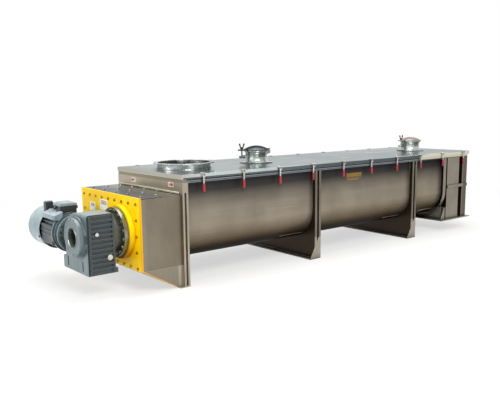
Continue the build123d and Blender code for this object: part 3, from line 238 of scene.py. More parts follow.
@dataclass(frozen=True)
class Worn(Finish):
    """A finish with tones and painted light by place and direction, painted shade in its corners and painted
    highlights with wear on its edges laid over it.
    """

    light: str = "9A9284"
    dark: str = "7C7466"
    # Painted shade in the corners, from ambient occlusion: its colour, reach and strength.
    corner_shade: str = "2A2018"
    corner_shade_mm: float = 60.0
    corner_shade_share: float = 0.7
    # Painted highlight with wear on the edges, from the bevel: its colour, width and strength.
    edge: str = "D8D4CA"
    edge_mm: float = 2.0
    lit_worn_edge_share: float = 0.35
    # Painted reflections, painted light and shade by height and by side, then tones by axis and by box, many
    # of them painted light and shade too.
    painted_reflections: tuple[PaintedReflection, ...] = ()
    light_by_height: tuple[tuple[float, str], ...] = ()
    sides: tuple[LitSide, ...] = ()
    fades: tuple[Fade, ...] = ()
    zones: tuple[Zone, ...] = ()

    def toned(
        self, tree: bpy.types.NodeTree, where: bpy.types.Node, colour: bpy.types.NodeSocket
    ) -> bpy.types.NodeSocket:
        """Lay painted reflections, painted light and shade by height and by side, fades and zones over a
        colour.

        Args:
            tree: The material's node tree.
            where: Its texture coordinates.
            colour: The colour so far.

        Returns:
            The new colour.
        """
        along = add_node(tree, "ShaderNodeSeparateXYZ", {0: where.outputs["Object"]}).outputs
        colour = self._reflected(tree, where.outputs["Object"], colour)
        if self.light_by_height:
            colour = self._lit_by_height(tree, along[2], colour)
        colour = self._lit_by_side(tree, where.outputs["Normal"], colour)
        colour = self._faded(tree, along, colour)
        return self._zoned(tree, along, colour)

    def _reflected(
        self, tree: bpy.types.NodeTree, place: bpy.types.NodeSocket, colour: bpy.types.NodeSocket
    ) -> bpy.types.NodeSocket:
        """Lay the painted reflections over a colour.

        Args:
            tree: The material's node tree.
            place: The place on the object.
            colour: The colour so far.

        Returns:
            The new colour.
        """
        for reflection_patch in self.painted_reflections:
            pitch = tuple(1000.0 / mm for mm in reflection_patch.pitch_mm)
            scaled = add_node(tree, "ShaderNodeMapping", {"Vector": place, "Scale": pitch}).outputs[0]
            cloud = add_node(
                tree, "ShaderNodeTexNoise", {"Vector": scaled, "Scale": 1.0, "Detail": 2.0, "Roughness": 0.5}
            ).outputs[0]
            colour = laid(tree, colour, linear(reflection_patch.tone), cloud, reflection_patch.span, reflection_patch.share)
        return colour

    def _lit_by_height(
        self, tree: bpy.types.NodeTree, height: bpy.types.NodeSocket, colour: bpy.types.NodeSocket
    ) -> bpy.types.NodeSocket:
        """Multiply a colour by the painted light and shade of its heights.

        Args:
            tree: The material's node tree.
            height: The height on the object.
            colour: The colour so far.

        Returns:
            The new colour.
        """
        low, high = self.light_by_height[0][0], self.light_by_height[-1][0]
        share = add_node(
            tree,
            "ShaderNodeMapRange",
            {"Value": height, "From Min": low * MM, "From Max": high * MM, "To Min": 0.0, "To Max": 1.0},
        ).outputs[0]
        ramp = add_node(tree, "ShaderNodeValToRGB", {0: share})
        stops = ramp.color_ramp.elements
        stops.remove(stops[-1])
        for n, (level, code) in enumerate(self.light_by_height):
            at = (level - low) / (high - low)
            stop = stops[0] if n == 0 else stops.new(at)
            stop.position = at
            stop.color = linear(code)
        colours = {0: 1.0, 6: colour, 7: ramp.outputs[0]}
        return add_node(
            tree, "ShaderNodeMix", colours, data_type="RGBA", blend_type="MULTIPLY", clamp_result=True
        ).outputs[2]

    def _lit_by_side(
        self, tree: bpy.types.NodeTree, normal: bpy.types.NodeSocket, colour: bpy.types.NodeSocket
    ) -> bpy.types.NodeSocket:
        """Lay the painted light and shade of the faces that look one way over a colour.

        Args:
            tree: The material's node tree.
            normal: The direction that the surface looks.
            colour: The colour so far.

        Returns:
            The new colour.
        """
        for side in self.sides:
            facing = add_node(
                tree, "ShaderNodeVectorMath", {0: normal, 1: side.way}, operation="DOT_PRODUCT"
            ).outputs["Value"]
            colour = laid(tree, colour, linear(side.tone), facing, (0.5, 0.9), side.share)
        return colour

    def _faded(
        self, tree: bpy.types.NodeTree, along: bpy.types.NodeOutputs, colour: bpy.types.NodeSocket
    ) -> bpy.types.NodeSocket:
        """Lay the fades along the axes over a colour.

        Args:
            tree: The material's node tree.
            along: The place on the object, by axis.
            colour: The colour so far.

        Returns:
            The new colour.
        """
        for fade in self.fades:
            reach = (fade.gone * MM, fade.full * MM)
            colour = laid(tree, colour, linear(fade.tone), along[fade.axis.name], reach, fade.share)
        return colour

    def _zoned(
        self, tree: bpy.types.NodeTree, along: bpy.types.NodeOutputs, colour: bpy.types.NodeSocket
    ) -> bpy.types.NodeSocket:
        """Lay the tones of the boxes over a colour.

        Args:
            tree: The material's node tree.
            along: The place on the object, by axis.
            colour: The colour so far.

        Returns:
            The new colour.
        """
        for zone in self.zones:
            inside: Input = 1.0
            for axis in range(3):
                middle = (zone.low[axis] + zone.high[axis]) / 2 * MM
                half = (zone.high[axis] - zone.low[axis]) / 2 * MM
                within = add_node(
                    tree, "ShaderNodeMath", {0: along[axis], 1: middle, 2: half}, operation="COMPARE"
                ).outputs[0]
                inside = add_node(
                    tree, "ShaderNodeMath", {0: within, 1: inside}, operation="MULTIPLY"
                ).outputs[0]
            colour = laid(tree, colour, linear(zone.tone), inside, (0.0, 1.0), zone.share)
        return colour

    def aged(
        self, tree: bpy.types.NodeTree, colour: bpy.types.NodeSocket, bevel: bpy.types.Node
    ) -> bpy.types.NodeSocket:
        """Paint shade into the corners and highlights with wear onto the edges of a colour.

        Args:
            tree: The material's node tree.
            colour: The colour so far.
            bevel: The node that rounds the edges.

        Returns:
            The new colour.
        """
        # Painted shade: the colour darkens where ambient occlusion finds a corner.
        corner = add_node(tree, "ShaderNodeAmbientOcclusion", {"Distance": self.corner_shade_mm * MM}, samples=6)
        shade = corner.outputs["AO"]
        colour = laid(tree, colour, linear(self.corner_shade), shade, (0.95, 0.25), self.corner_shade_share)
        # Painted highlight, with wear: the colour lightens where the bevel bends the normal at an edge.
        flat = add_node(tree, "ShaderNodeNewGeometry").outputs["True Normal"]
        facing = add_node(
            tree, "ShaderNodeVectorMath", {0: bevel.outputs[0], 1: flat}, operation="DOT_PRODUCT"
        ).outputs["Value"]
        return laid(tree, colour, linear(self.edge), facing, (0.98, 0.8), self.lit_worn_edge_share)


@dataclass(frozen=True)
class SheetSteel(Worn):
    """Stainless sheet or section: brushed or rolled, a little wavy, with painted shade in its corners.

    The grain is a stretched noise. Its real pitch of a tenth of a millimetre is too fine
    to show, so it is drawn some millimetres wide.
    """

    grain_mm: Place = (400.0, 5.0, 5.0)
    grain_share: float = 0.35
    rough: tuple[float, float] = (0.28, 0.42)
    wave_mm: float = 0.0
    wave_pitch_mm: float = 500.0
    glance: str = "FFFFFF"
    metallic: float = 1.0
    shine: float = 0.5

    def paint(self, tree: bpy.types.NodeTree, shader: bpy.types.Node) -> None:
        """Brushed metal with grain, blotches, waves, painted highlights on its edges and painted shade in its
        corners.

        Args:
            tree: The material's node tree.
            shader: Its Principled shader.
        """
        where = add_node(tree, "ShaderNodeTexCoord")
        place = where.outputs["Object"]
        pitch = tuple(1000.0 / mm for mm in self.grain_mm)
        along = add_node(tree, "ShaderNodeMapping", {"Vector": place, "Scale": pitch}).outputs[0]
        grain = add_node(
            tree, "ShaderNodeTexNoise", {"Vector": along, "Scale": 1.0, "Detail": 5.0, "Roughness": 0.6}
        ).outputs[0]
        colour = self._grained(tree, where, grain)
        bevel = add_node(tree, "ShaderNodeBevel", {"Radius": self.edge_mm * MM}, samples=4)
        colour = self.aged(tree, colour, bevel)
        normal = add_node(
            tree,
            "ShaderNodeBump",
            {"Strength": 0.08, "Distance": 0.0006, "Height": grain, "Normal": bevel.outputs[0]},
        ).outputs[0]
        if self.wave_mm > 0:
            swell = add_node(
                tree,
                "ShaderNodeTexNoise",
                {"Vector": place, "Scale": 1000.0 / self.wave_pitch_mm, "Detail": 2.0, "Roughness": 0.4},
            ).outputs[0]
            normal = add_node(
                tree,
                "ShaderNodeBump",
                {"Strength": 1.0, "Distance": self.wave_mm * MM, "Height": swell, "Normal": normal},
            ).outputs[0]
        smooth, coarse = self.rough
        rough = add_node(
            tree,
            "ShaderNodeMapRange",
            {"Value": grain, "From Min": 0.3, "From Max": 0.7, "To Min": smooth, "To Max": coarse},
        ).outputs[0]
        feed(tree, shader, {"Base Color": colour, "Roughness": rough, "Normal": normal})
        feed(tree, shader, {"Metallic": self.metallic, "Anisotropic": 0.4})
        feed(tree, shader, {"Specular Tint": linear(self.glance), "Specular IOR Level": self.shine})

    def _grained(
        self, tree: bpy.types.NodeTree, where: bpy.types.Node, grain: bpy.types.NodeSocket
    ) -> bpy.types.NodeSocket:
        """Mix the metal's light and dark in blotches, tone it and streak it with the grain.

        Args:
            tree: The material's node tree.
            where: Its texture coordinates.
            grain: The grain.

        Returns:
            The colour.
        """
        blotch = add_node(
            tree,
            "ShaderNodeTexNoise",
            {"Vector": where.outputs["Object"], "Scale": 3.0, "Detail": 3.0, "Roughness": 0.5},
        ).outputs[0]
        colour = laid(tree, linear(self.dark), linear(self.light), blotch, (0.3, 0.7))
        colour = self.toned(tree, where, colour)
        weak, strong = 1.0 - self.grain_share, 1.0 + self.grain_share / 2
        streak = add_node(
            tree,
            "ShaderNodeMapRange",
            {"Value": grain, "From Min": 0.25, "From Max": 0.75, "To Min": weak, "To Max": strong},
        ).outputs[0]
        colours = {0: 1.0, 6: colour, 7: streak}
        return add_node(
            tree, "ShaderNodeMix", colours, data_type="RGBA", blend_type="MULTIPLY", clamp_result=True
        ).outputs[2]


@dataclass(frozen=True)
class Enamel(Worn):
    """Machine enamel over steel or a sand casting: gloss, casting pebble, dust and painted shade in its
    corners.

    The real pebble of about a millimetre is too fine to show, so it is drawn some
    millimetres wide.
    """

    dust: str = "A9B4B6"
    dust_share: float = 0.3
    rough: float = 0.35
    pebble_mm: float = 4.0
    pebble_depth_mm: float = 0.25
    shine: float = 0.5
    coat: float = 0.25

    def paint(self, tree: bpy.types.NodeTree, shader: bpy.types.Node) -> None:
        """Paint with tone, dust on its tops, painted highlights on its edges and painted shade in its
        corners.

        Args:
            tree: The material's node tree.
            shader: Its Principled shader.
        """
        where = add_node(tree, "ShaderNodeTexCoord")
        place = where.outputs["Object"]
        blotch = add_node(
            tree, "ShaderNodeTexNoise", {"Vector": place, "Scale": 7.0, "Detail": 5.0, "Roughness": 0.6}
        ).outputs[0]
        colour = self._dusted(tree, where, blotch)
        bevel = add_node(tree, "ShaderNodeBevel", {"Radius": self.edge_mm * MM}, samples=4)
        colour = self.aged(tree, self.toned(tree, where, colour), bevel)
        pebble = add_node(
            tree,
            "ShaderNodeTexNoise",
            {"Vector": place, "Scale": 1000.0 / self.pebble_mm / 3, "Detail": 3.0, "Roughness": 0.5},
        ).outputs[0]
        depth = self.pebble_depth_mm * MM
        normal = add_node(
            tree,
            "ShaderNodeBump",
            {"Strength": 0.6, "Distance": depth, "Height": pebble, "Normal": bevel.outputs[0]},
        ).outputs[0]
        smooth, coarse = self.rough * 0.8, self.rough * 1.3
        gloss = add_node(
            tree,
            "ShaderNodeMapRange",
            {"Value": blotch, "From Min": 0.3, "From Max": 0.7, "To Min": smooth, "To Max": coarse},
        ).outputs[0]
        feed(tree, shader, {"Base Color": colour, "Roughness": gloss, "Normal": normal})
        feed(tree, shader, {"Specular IOR Level": self.shine})
        feed(tree, shader, {"Coat Weight": self.coat, "Coat Roughness": 0.2})

    def _dusted(
        self, tree: bpy.types.NodeTree, where: bpy.types.Node, blotch: bpy.types.NodeSocket
    ) -> bpy.types.NodeSocket:
        """Mix the paint's two tones in blotches and let dust settle on what looks up.

        Args:
            tree: The material's node tree.
            where: Its texture coordinates.
            blotch: The blotches.

        Returns:
            The colour.
        """
        colour = laid(tree, linear(self.dark), linear(self.light), blotch, (0.35, 0.65))
        up = add_node(tree, "ShaderNodeSeparateXYZ", {0: where.outputs["Normal"]}).outputs[2]
        return laid(tree, colour, linear(self.dust), up, (0.3, 1.0), self.dust_share)


@dataclass(frozen=True)
class TurnedSteel(Finish):
    """Steel turned on a lathe: fine rings about its axis, with a film of oil.

    Real turning marks stand tenths of a millimetre apart, too fine to show, so the rings
    are drawn some millimetres wide.
    """

    light: str = "B6B2A6"
    dark: str = "7A776C"
    centre: Place = (0.0, 0.0, 0.0)
    axis: Axis = Axis.X
    ring_mm: float = 5.0
    rough: tuple[float, float] = (0.18, 0.34)

    def paint(self, tree: bpy.types.NodeTree, shader: bpy.types.Node) -> None:
        """Rings by the distance from the axis, in colour, roughness and bump.

        Args:
            tree: The material's node tree.
            shader: Its Principled shader.
        """
        place = add_node(tree, "ShaderNodeTexCoord").outputs["Object"]
        flat = tuple(0.0 if name == self.axis.name else 1.0 for name in LETTERS)
        shift = tuple(-c * MM * f for c, f in zip(self.centre, flat, strict=True))
        across = {"Vector": place, "Location": shift, "Scale": flat}
        mapped = add_node(tree, "ShaderNodeMapping", across).outputs[0]
        distance = add_node(tree, "ShaderNodeVectorMath", {0: mapped}, operation="LENGTH").outputs["Value"]
        rings = add_node(
            tree,
            "ShaderNodeTexNoise",
            {"W": distance, "Scale": 1000.0 / self.ring_mm, "Detail": 4.0},
            noise_dimensions="1D",
        ).outputs[0]
        mottle = add_node(
            tree, "ShaderNodeTexNoise", {"Vector": place, "Scale": 9.0, "Detail": 4.0, "Roughness": 0.5}
        ).outputs[0]
        both = add_node(tree, "ShaderNodeMath", {0: rings, 1: mottle}, operation="MULTIPLY").outputs[0]
        colour = laid(tree, linear(self.dark), linear(self.light), both, (0.12, 0.38))
        bevel = add_node(tree, "ShaderNodeBevel", {"Radius": 1.5 * MM}, samples=4).outputs[0]
        normal = add_node(
            tree, "ShaderNodeBump", {"Strength": 0.15, "Distance": 0.0005, "Height": rings, "Normal": bevel}
        ).outputs[0]
        smooth, coarse = self.rough
        rough = add_node(
            tree,
            "ShaderNodeMapRange",
            {"Value": both, "From Min": 0.38, "From Max": 0.12, "To Min": smooth, "To Max": coarse},
        ).outputs[0]
        feed(tree, shader, {"Base Color": colour, "Roughness": rough, "Normal": normal, "Metallic": 1.0})


@dataclass(frozen=True)
class Moulding(Finish):
    """Dipped or moulded plastic, rubber and blank film: even, softly mottled and handled.

    The real skin is finer than a tenth of a millimetre, too fine to show, so it is drawn
    one to two millimetres wide.
    """

    light: str = "D0122A"
    dark: str = "8E0A1C"
    rough: float = 0.4
    mottle_mm: float = 20.0
    skin_mm: float = 1.5
    skin_depth_mm: float = 0.1
    coat: float = 0.3

    def paint(self, tree: bpy.types.NodeTree, shader: bpy.types.Node) -> None:
        """Mottled colour, handled roughness and a fine skin.

        Args:
            tree: The material's node tree.
            shader: Its Principled shader.
        """
        place = add_node(tree, "ShaderNodeTexCoord").outputs["Object"]
        mottle = add_node(
            tree,
            "ShaderNodeTexNoise",
            {"Vector": place, "Scale": 1000.0 / self.mottle_mm / 3, "Detail": 4.0, "Roughness": 0.5},
        ).outputs[0]
        colour = laid(tree, linear(self.dark), linear(self.light), mottle, (0.35, 0.6))
        bevel = add_node(tree, "ShaderNodeBevel", {"Radius": 1.0 * MM}, samples=4).outputs[0]
        skin = add_node(
            tree,
            "ShaderNodeTexNoise",
            {"Vector": place, "Scale": 1000.0 / self.skin_mm / 3, "Detail": 2.0, "Roughness": 0.5},
        ).outputs[0]
        depth = self.skin_depth_mm * MM
        normal = add_node(
            tree, "ShaderNodeBump", {"Strength": 0.5, "Distance": depth, "Height": skin, "Normal": bevel}
        ).outputs[0]
        smooth, coarse = self.rough * 0.8, self.rough * 1.25
        rough = add_node(
            tree,
            "ShaderNodeMapRange",
            {"Value": mottle, "From Min": 0.3, "From Max": 0.7, "To Min": smooth, "To Max": coarse},
        ).outputs[0]
        feed(tree, shader, {"Base Color": colour, "Roughness": rough, "Normal": normal})
        feed(tree, shader, {"Coat Weight": self.coat})


SHAFT_Z = 568.0
SHAFT_Y = 260.0
MOTOR_X = -2594.0
MOTOR_Z = 528.0
TO_DRIVE: Place = (-1.0, 0.0, 0.0)
TO_TAIL: Place = (1.0, 0.0, 0.0)

# Painted light, shade and reflection on the trough's wall by height: dark under the rounds, bright at the
# belly, grey-blue on top.
TROUGH_LIGHT_BY_HEIGHT = (
    (226.0, "0C0805"),
    (245.0, "120C07"),
    (290.0, "3C3226"),
    (345.0, "7C7262"),
    (420.0, "B2A898"),
    (560.0, "E2DDD4"),
    (720.0, "DAD7D0"),
    (850.0, "A6A5A2"),
    (925.0, "68696E"),
    (1000.0, "52555E"),
    (1023.0, "70747C"),
    (1092.0, "8C8880"),
)
# Brushed sheet: a dull satin wall, a little wavy, painted brighter from its rounds to its belly, with painted
# highlight streaks low on the wall.
TROUGH_SHEET = SheetSteel(
    "trough_sheet_brushed_stainless", "ABA398", "9A9288", light_by_height=TROUGH_LIGHT_BY_HEIGHT, grain_mm=(900.0, 6.0, 6.0),
    grain_share=0.14, rough=(0.3, 0.42), wave_mm=2.5, wave_pitch_mm=900.0, corner_shade_mm=70.0, corner_shade_share=0.3,
    lit_worn_edge_share=0.0, corner_shade="2A2118", glance="1C1814", metallic=0.6, shine=0.05,
    # Painted highlight streaks low on the wall.
    zones=(
        Zone((-430.0, -600.0, 284.0), (-62.0, -200.0, 300.0), "C8BFB0", 0.5),
        Zone((1380.0, -600.0, 286.0), (1738.0, -200.0, 302.0), "C8BFB0", 0.5),
        Zone((2120.0, -600.0, 300.0), (2440.0, -200.0, 322.0), "C8BFB0", 0.5),
    ),
)
# Bright rolled sheet: cool soft painted reflections, painted light towards the drive end and warm there,
# painted light on the faces towards the drive, a band of painted shade along its lip and the lip painted
# light at both ends.
LID_SHEET = SheetSteel(
    "lid_sheet_bright_stainless", "B0B8B8", "9CA6A8", corner_shade="4A5050", grain_mm=(600.0, 8.0, 8.0),
    grain_share=0.12, rough=(0.14, 0.26), wave_mm=5.0, wave_pitch_mm=420.0, corner_shade_mm=25.0,
    corner_shade_share=0.35, edge="E6EAE6", edge_mm=4.0, lit_worn_edge_share=0.75, glance="C0C6C6",
    painted_reflections=(
        PaintedReflection("7A8A8E", (900.0, 260.0, 900.0), (0.52, 0.78), 0.45),
        PaintedReflection("F6FCFC", (520.0, 150.0, 900.0), (0.52, 0.74), 0.75),
    ),
    sides=(LitSide(TO_DRIVE, "B4AD98"),),
    fades=(Fade(Axis.X, -1300.0, 900.0, "D8E0E0", 0.7), Fade(Axis.X, -1830.0, -1560.0, "B4AE9E", 0.7)),
    zones=(
        Zone((-1840.0, -700.0, 1050.0), (-1820.0, 700.0, 1064.0), "D2CCB8"),
        Zone((-1819.0, -700.0, 1050.0), (-620.0, 700.0, 1073.0), "3A4446", 0.85),
        Zone((-620.0, -700.0, 1050.0), (1890.0, 700.0, 1095.0), "3A4446", 0.85),
        Zone((1890.0, -700.0, 1050.0), (3090.0, 700.0, 1097.0), "D9D4C4"),
    ),
)
# Folded rim in painted shade: dark grey-blue, a darker painted channel under the lid, thin painted highlight
# lines where its folds catch the light, and warm painted light past the rear frame, at the drive end and on
# the faces towards the drive.
RIM_SHEET = SheetSteel(
    "rim_folded_stainless", "5E6670", "484C52", corner_shade="15110D", grain_mm=(700.0, 6.0, 6.0), grain_share=0.25,
    rough=(0.3, 0.42), corner_shade_mm=30.0, corner_shade_share=0.6, edge="8A93A0", lit_worn_edge_share=0.6,
    fades=(Fade(Axis.X, 1960.0, 1880.0, "D4CFB8"), Fade(Axis.X, -1790.0, -1740.0, "968D7A")),
    sides=(LitSide(TO_DRIVE, "9A917E"),),
    zones=(
        Zone((-1780.0, -700.0, 1044.0), (1880.0, 700.0, 1060.0), "2A2E30", 0.85),
        Zone((-1780.0, -700.0, 1037.0), (1880.0, 700.0, 1044.0), "A4ABB2", 0.8),
        Zone((-1780.0, -700.0, 1020.0), (1880.0, 700.0, 1028.0), "9AA0A4", 0.8),
        Zone((1900.0, -700.0, 1020.0), (3050.0, 700.0, 1034.0), "5A5246", 0.9),
    ),
)
# Folded plate of the posts: brown-grey, painted dark with shade on the faces towards either end and on the
# upper near faces, painted light on the foot and the gusset, painted shade in its corners and painted
# highlights with wear on its edges.
FRAME_STEEL = SheetSteel(
    "support_frame_folded_stainless", "9A9283", "7C7365", corner_shade="1A130D", grain_mm=(6.0, 6.0, 300.0),
    grain_share=0.2, rough=(0.3, 0.42), corner_shade_mm=90.0, corner_shade_share=0.6, edge="C2BCAE", edge_mm=3.0,
    lit_worn_edge_share=0.75, metallic=0.8,
    zones=(
        Zone((-130.0, -700.0, 12.0), (2000.0, -640.0, 256.0), "B0AA9E", 0.5),
        Zone((-130.0, -640.0, 0.0), (2000.0, 640.0, 16.0), "8A8072", 0.8),
        Zone((-130.0, -700.0, 256.0), (2000.0, -640.0, 1030.0), "665D50", 0.6),
    ),
    sides=(LitSide(TO_DRIVE, "3C3126"), LitSide(TO_TAIL, "5A4F42")),
)
# Clean channels at the drive end: pale warm grey, with painted highlights on their edges and painted light on
# the faces towards the drive, darker towards the floor.
DRIVE_FRAME = SheetSteel(
    "drive_frame_folded_stainless", "BEB5A2", "A39A8A", corner_shade="3A3026", grain_mm=(6.0, 400.0, 300.0),
    grain_share=0.16, rough=(0.3, 0.42), corner_shade_mm=50.0, corner_shade_share=0.2, edge="D2CBB6", edge_mm=4.0,
    lit_worn_edge_share=0.85, sides=(LitSide(TO_DRIVE, "B0A793"),),
    zones=(Zone((-2300.0, -700.0, 0.0), (-1884.0, 700.0, 230.0), "8C8373", 0.85),),
)
# Fold of the rail, painted bright as one highlight line.
HEM_STEEL = SheetSteel(
    "rail_hem_bright_stainless", "D6CFBC", "BDB5A2", corner_shade="6A6152", grain_mm=(5.0, 300.0, 5.0),
    grain_share=0.15, rough=(0.28, 0.38), corner_shade_mm=8.0, corner_shade_share=0.2, lit_worn_edge_share=0.4,
)
# Rolled sheet round the gears: a soft brown-grey curve, a little lighter in front.
CASE_STEEL = SheetSteel(
    "gear_case_rolled_stainless", "8A8172", "796F61", corner_shade="2B231B", grain_mm=(6.0, 6.0, 350.0),
    grain_share=0.12, rough=(0.32, 0.42), wave_mm=1.5, wave_pitch_mm=600.0, corner_shade_mm=50.0,
    corner_shade_share=0.3, lit_worn_edge_share=0.4,
    fades=(Fade(Axis.X, -2268.0, -2200.0, "A0978A", 0.6),),
)
# Panels of the tail: warm grey, nearly black with painted shade where they look at the drive end, with a
# lighter low zone and a painted highlight strip, and darker towards the tail's end.
TAIL_STEEL = SheetSteel(
    "tail_panel_stainless", "928B7F", "827A6D", corner_shade="1A130D", grain_mm=(6.0, 6.0, 350.0), grain_share=0.14,
    rough=(0.3, 0.42), corner_shade_mm=60.0, corner_shade_share=0.85, edge="B4AEA0", lit_worn_edge_share=0.6,
    sides=(LitSide(TO_DRIVE, "1C140E"),), fades=(Fade(Axis.X, 2960.0, 2915.0, "5F5748"),),
    zones=(
        Zone((2455.0, -646.0, 150.0), (2560.0, 646.0, 330.0), "B4AFA6", 0.8),
        Zone((2395.0, -700.0, 148.0), (3100.0, 700.0, 166.0), "A8A296", 0.8),
    ),
    metallic=0.85,
)
# Blued plate that closes the gear case: dark blue-grey with painted highlights and wear on its edges.
COVER_STEEL = SheetSteel(
    "gear_case_cover_blued_plate", "4C5259", "2F3439", corner_shade="101114", grain_mm=(250.0, 7.0, 7.0),
    grain_share=0.25, rough=(0.25, 0.4), corner_shade_mm=20.0, corner_shade_share=0.5, lit_worn_edge_share=0.7,
    fades=(Fade(Axis.X, -1900.0, -2120.0, "7E796C", 0.9),),
)
# Painted reflections on a polished neck: dark and bright upright patches.
NECK_REFLECTIONS = (
    PaintedReflection("3E4441", (120.0, 120.0, 260.0), (0.48, 0.75), 0.55),
    PaintedReflection("F8FAF6", (150.0, 150.0, 420.0), (0.48, 0.75), 0.6),
)
# Polished necks: pale green-grey with upright painted reflections, a dark painted reflection on each near
# side, and the rear neck painted lighter as a highlight.
POLISHED = SheetSteel(
    "manway_polished_stainless", "A2A7A2", "828782", corner_shade="20221F", grain_mm=(60.0, 60.0, 8.0),
    grain_share=0.06, rough=(0.3, 0.36), corner_shade_mm=25.0, corner_shade_share=0.6, edge="F2F4EE", edge_mm=1.5,
    lit_worn_edge_share=0.5,
    painted_reflections=NECK_REFLECTIONS,
    fades=(Fade(Axis.X, 2460.0, 2400.0, "CFD5D0", 0.5),),
    zones=(
        Zone((-440.0, -200.0, 1170.0), (-339.0, -100.0, 1222.0), "3A3F3E", 0.6),
        Zone((2501.0, -200.0, 1165.0), (2590.0, -100.0, 1230.0), "4A5152", 0.6),
    ),
)
# Polished collar: pale and glossy, with strong dark and white painted reflections.
INLET_STEEL = SheetSteel(
    "inlet_polished_stainless", "BDC4C2", "868E8C", corner_shade="2A2D2C", grain_mm=(60.0, 60.0, 3.0),
    grain_share=0.1, rough=(0.22, 0.34), corner_shade_mm=40.0, corner_shade_share=0.7, edge="F0F2EC", edge_mm=3.0,
    lit_worn_edge_share=0.6,
    painted_reflections=(
        PaintedReflection("5C6664", (260.0, 200.0, 300.0), (0.52, 0.64), 0.8),
        PaintedReflection("FFFFFF", (180.0, 150.0, 300.0), (0.58, 0.68)),
    ),
)
# Polished cover painted nearly black as a dark reflection, with lighter painted reflections and a painted
# highlight on its edge.
FRONT_DOME = SheetSteel(
    "front_cover_dark_polished_stainless", "505456", "3A3D3F", corner_shade="0E0F10", grain_mm=(30.0, 30.0, 3.0),
    grain_share=0.12, rough=(0.25, 0.35), corner_shade_mm=20.0, corner_shade_share=0.6, edge="C0C4C4", edge_mm=1.5,
    lit_worn_edge_share=0.6,
    painted_reflections=(PaintedReflection("5A6066", (110.0, 110.0, 200.0), (0.54, 0.7), 0.7),), glance="A0A2A0",
)
# The same polish painted sand grey as a warm reflection, with brown painted reflections.
REAR_DOME = SheetSteel(
    "rear_cover_warm_polished_stainless", "BDB6AC", "857C72", corner_shade="2A241E", grain_mm=(30.0, 30.0, 3.0),
    grain_share=0.12, rough=(0.25, 0.35), corner_shade_mm=20.0, corner_shade_share=0.6, edge="E2DED4", edge_mm=1.5,
    lit_worn_edge_share=0.6,
    painted_reflections=(PaintedReflection("5E564C", (90.0, 90.0, 200.0), (0.56, 0.66), 0.7),),
)
# Weld metal as laid: rough warm ripples, darker in their hollows with painted shade.
WELD = SheetSteel(
    "weld_bead_stainless", "A89F8E", "5C5548", corner_shade="1E1812", grain_mm=(4.0, 4.0, 4.0), grain_share=0.6,
    rough=(0.25, 0.5), corner_shade_mm=12.0, corner_shade_share=0.6, lit_worn_edge_share=0.0,
)
# Zinc-plated bolts: dull grey heads, with painted shade black at their seats and painted highlights on their
# edges.
BOLT_STEEL = SheetSteel(
    "zinc_plated_bolts", "A8A496", "6A665A", corner_shade="14110D", grain_mm=(5.0, 5.0, 5.0), grain_share=0.3,
    rough=(0.25, 0.4), corner_shade_mm=8.0, corner_shade_share=0.8, edge_mm=0.8, lit_worn_edge_share=0.7,
)
# Bolts of the gear case: bright on the cover, yellow on the plate and grey on the flange.
CASE_BOLTS = SheetSteel(
    "gear_case_bolts_some_painted", "C9CDD0", "8C9094", corner_shade="1A1610", grain_mm=(5.0, 5.0, 5.0),
    grain_share=0.2, rough=(0.25, 0.4), corner_shade_mm=8.0, corner_shade_share=0.6, edge_mm=0.8, lit_worn_edge_share=0.5,
    fades=(Fade(Axis.X, -2280.5, -2279.0, "A8841A"), Fade(Axis.X, -2336.0, -2334.0, "86877A")),
)
# Bright stainless clamps: small light fittings against the dark rim.
CLAMP_STEEL = SheetSteel(
    "clamp_bright_stainless", "EDEAE0", "C2BEB2", corner_shade="1C1812", grain_mm=(5.0, 5.0, 5.0), grain_share=0.15,
    rough=(0.2, 0.32), corner_shade_mm=6.0, corner_shade_share=0.5, edge="FFFFFF", edge_mm=0.8, lit_worn_edge_share=0.4,
)
# Oiled black steel: nearly black, dull fittings.
DARK_STEEL = SheetSteel(
    "oiled_black_steel_fittings", "4A4741", "25231F", corner_shade="0C0B0A", grain_mm=(8.0, 8.0, 8.0),
    grain_share=0.3, rough=(0.3, 0.45), corner_shade_mm=15.0, corner_shade_share=0.7, edge_mm=1.0, lit_worn_edge_share=0.5,
)
# Ground paddles: grey-brown with upright grinding marks.
PADDLE_STEEL = SheetSteel(
    "paddle_ground_stainless", "A09A8C", "7B7567", corner_shade="2B241C", grain_mm=(8.0, 8.0, 60.0), grain_share=0.3,
    rough=(0.3, 0.45), corner_shade_mm=40.0, corner_shade_share=0.7, lit_worn_edge_share=0.6,
)
# Cut gears under oil: dark blue-grey with a wet glance.
GEAR_STEEL = SheetSteel(
    "sync_gear_oiled_steel", "77777A", "47474A", corner_shade="0E0D0B", grain_mm=(40.0, 4.0, 4.0), grain_share=0.3,
    rough=(0.2, 0.35), corner_shade_mm=20.0, corner_shade_share=0.8, edge_mm=1.0, lit_worn_edge_share=0.5,
)
# Painted shade in the corners of the slate paint: a blue-black.
SLATE_CORNER_SHADE = "0C1214"
# Slate enamel on a sand casting: pebbled grey-blue with dusty tops, painted shade on its near ribbed side and
# between its ribs, and a painted olive reflection of the yellow plate on its neck.
DRIVE_PAINT = Enamel(
    "drive_slate_enamel_on_casting", "647679", "4C5D61", corner_shade=SLATE_CORNER_SHADE, corner_shade_mm=45.0, corner_shade_share=0.9,
    edge="9DB0B5", edge_mm=4.0, lit_worn_edge_share=0.6, pebble_mm=5.0, pebble_depth_mm=0.5, dust="8C9A98",
    dust_share=0.5,
    fades=(Fade(Axis.Y, -449.0, -445.0, "172124", 0.88), Fade(Axis.X, -2446.0, -2462.0, "4A4428", 0.85)),
    zones=(Zone((-2722.0, -454.0, 236.0), (-2466.0, -448.0, 778.0), "11181A", 0.9),),
)
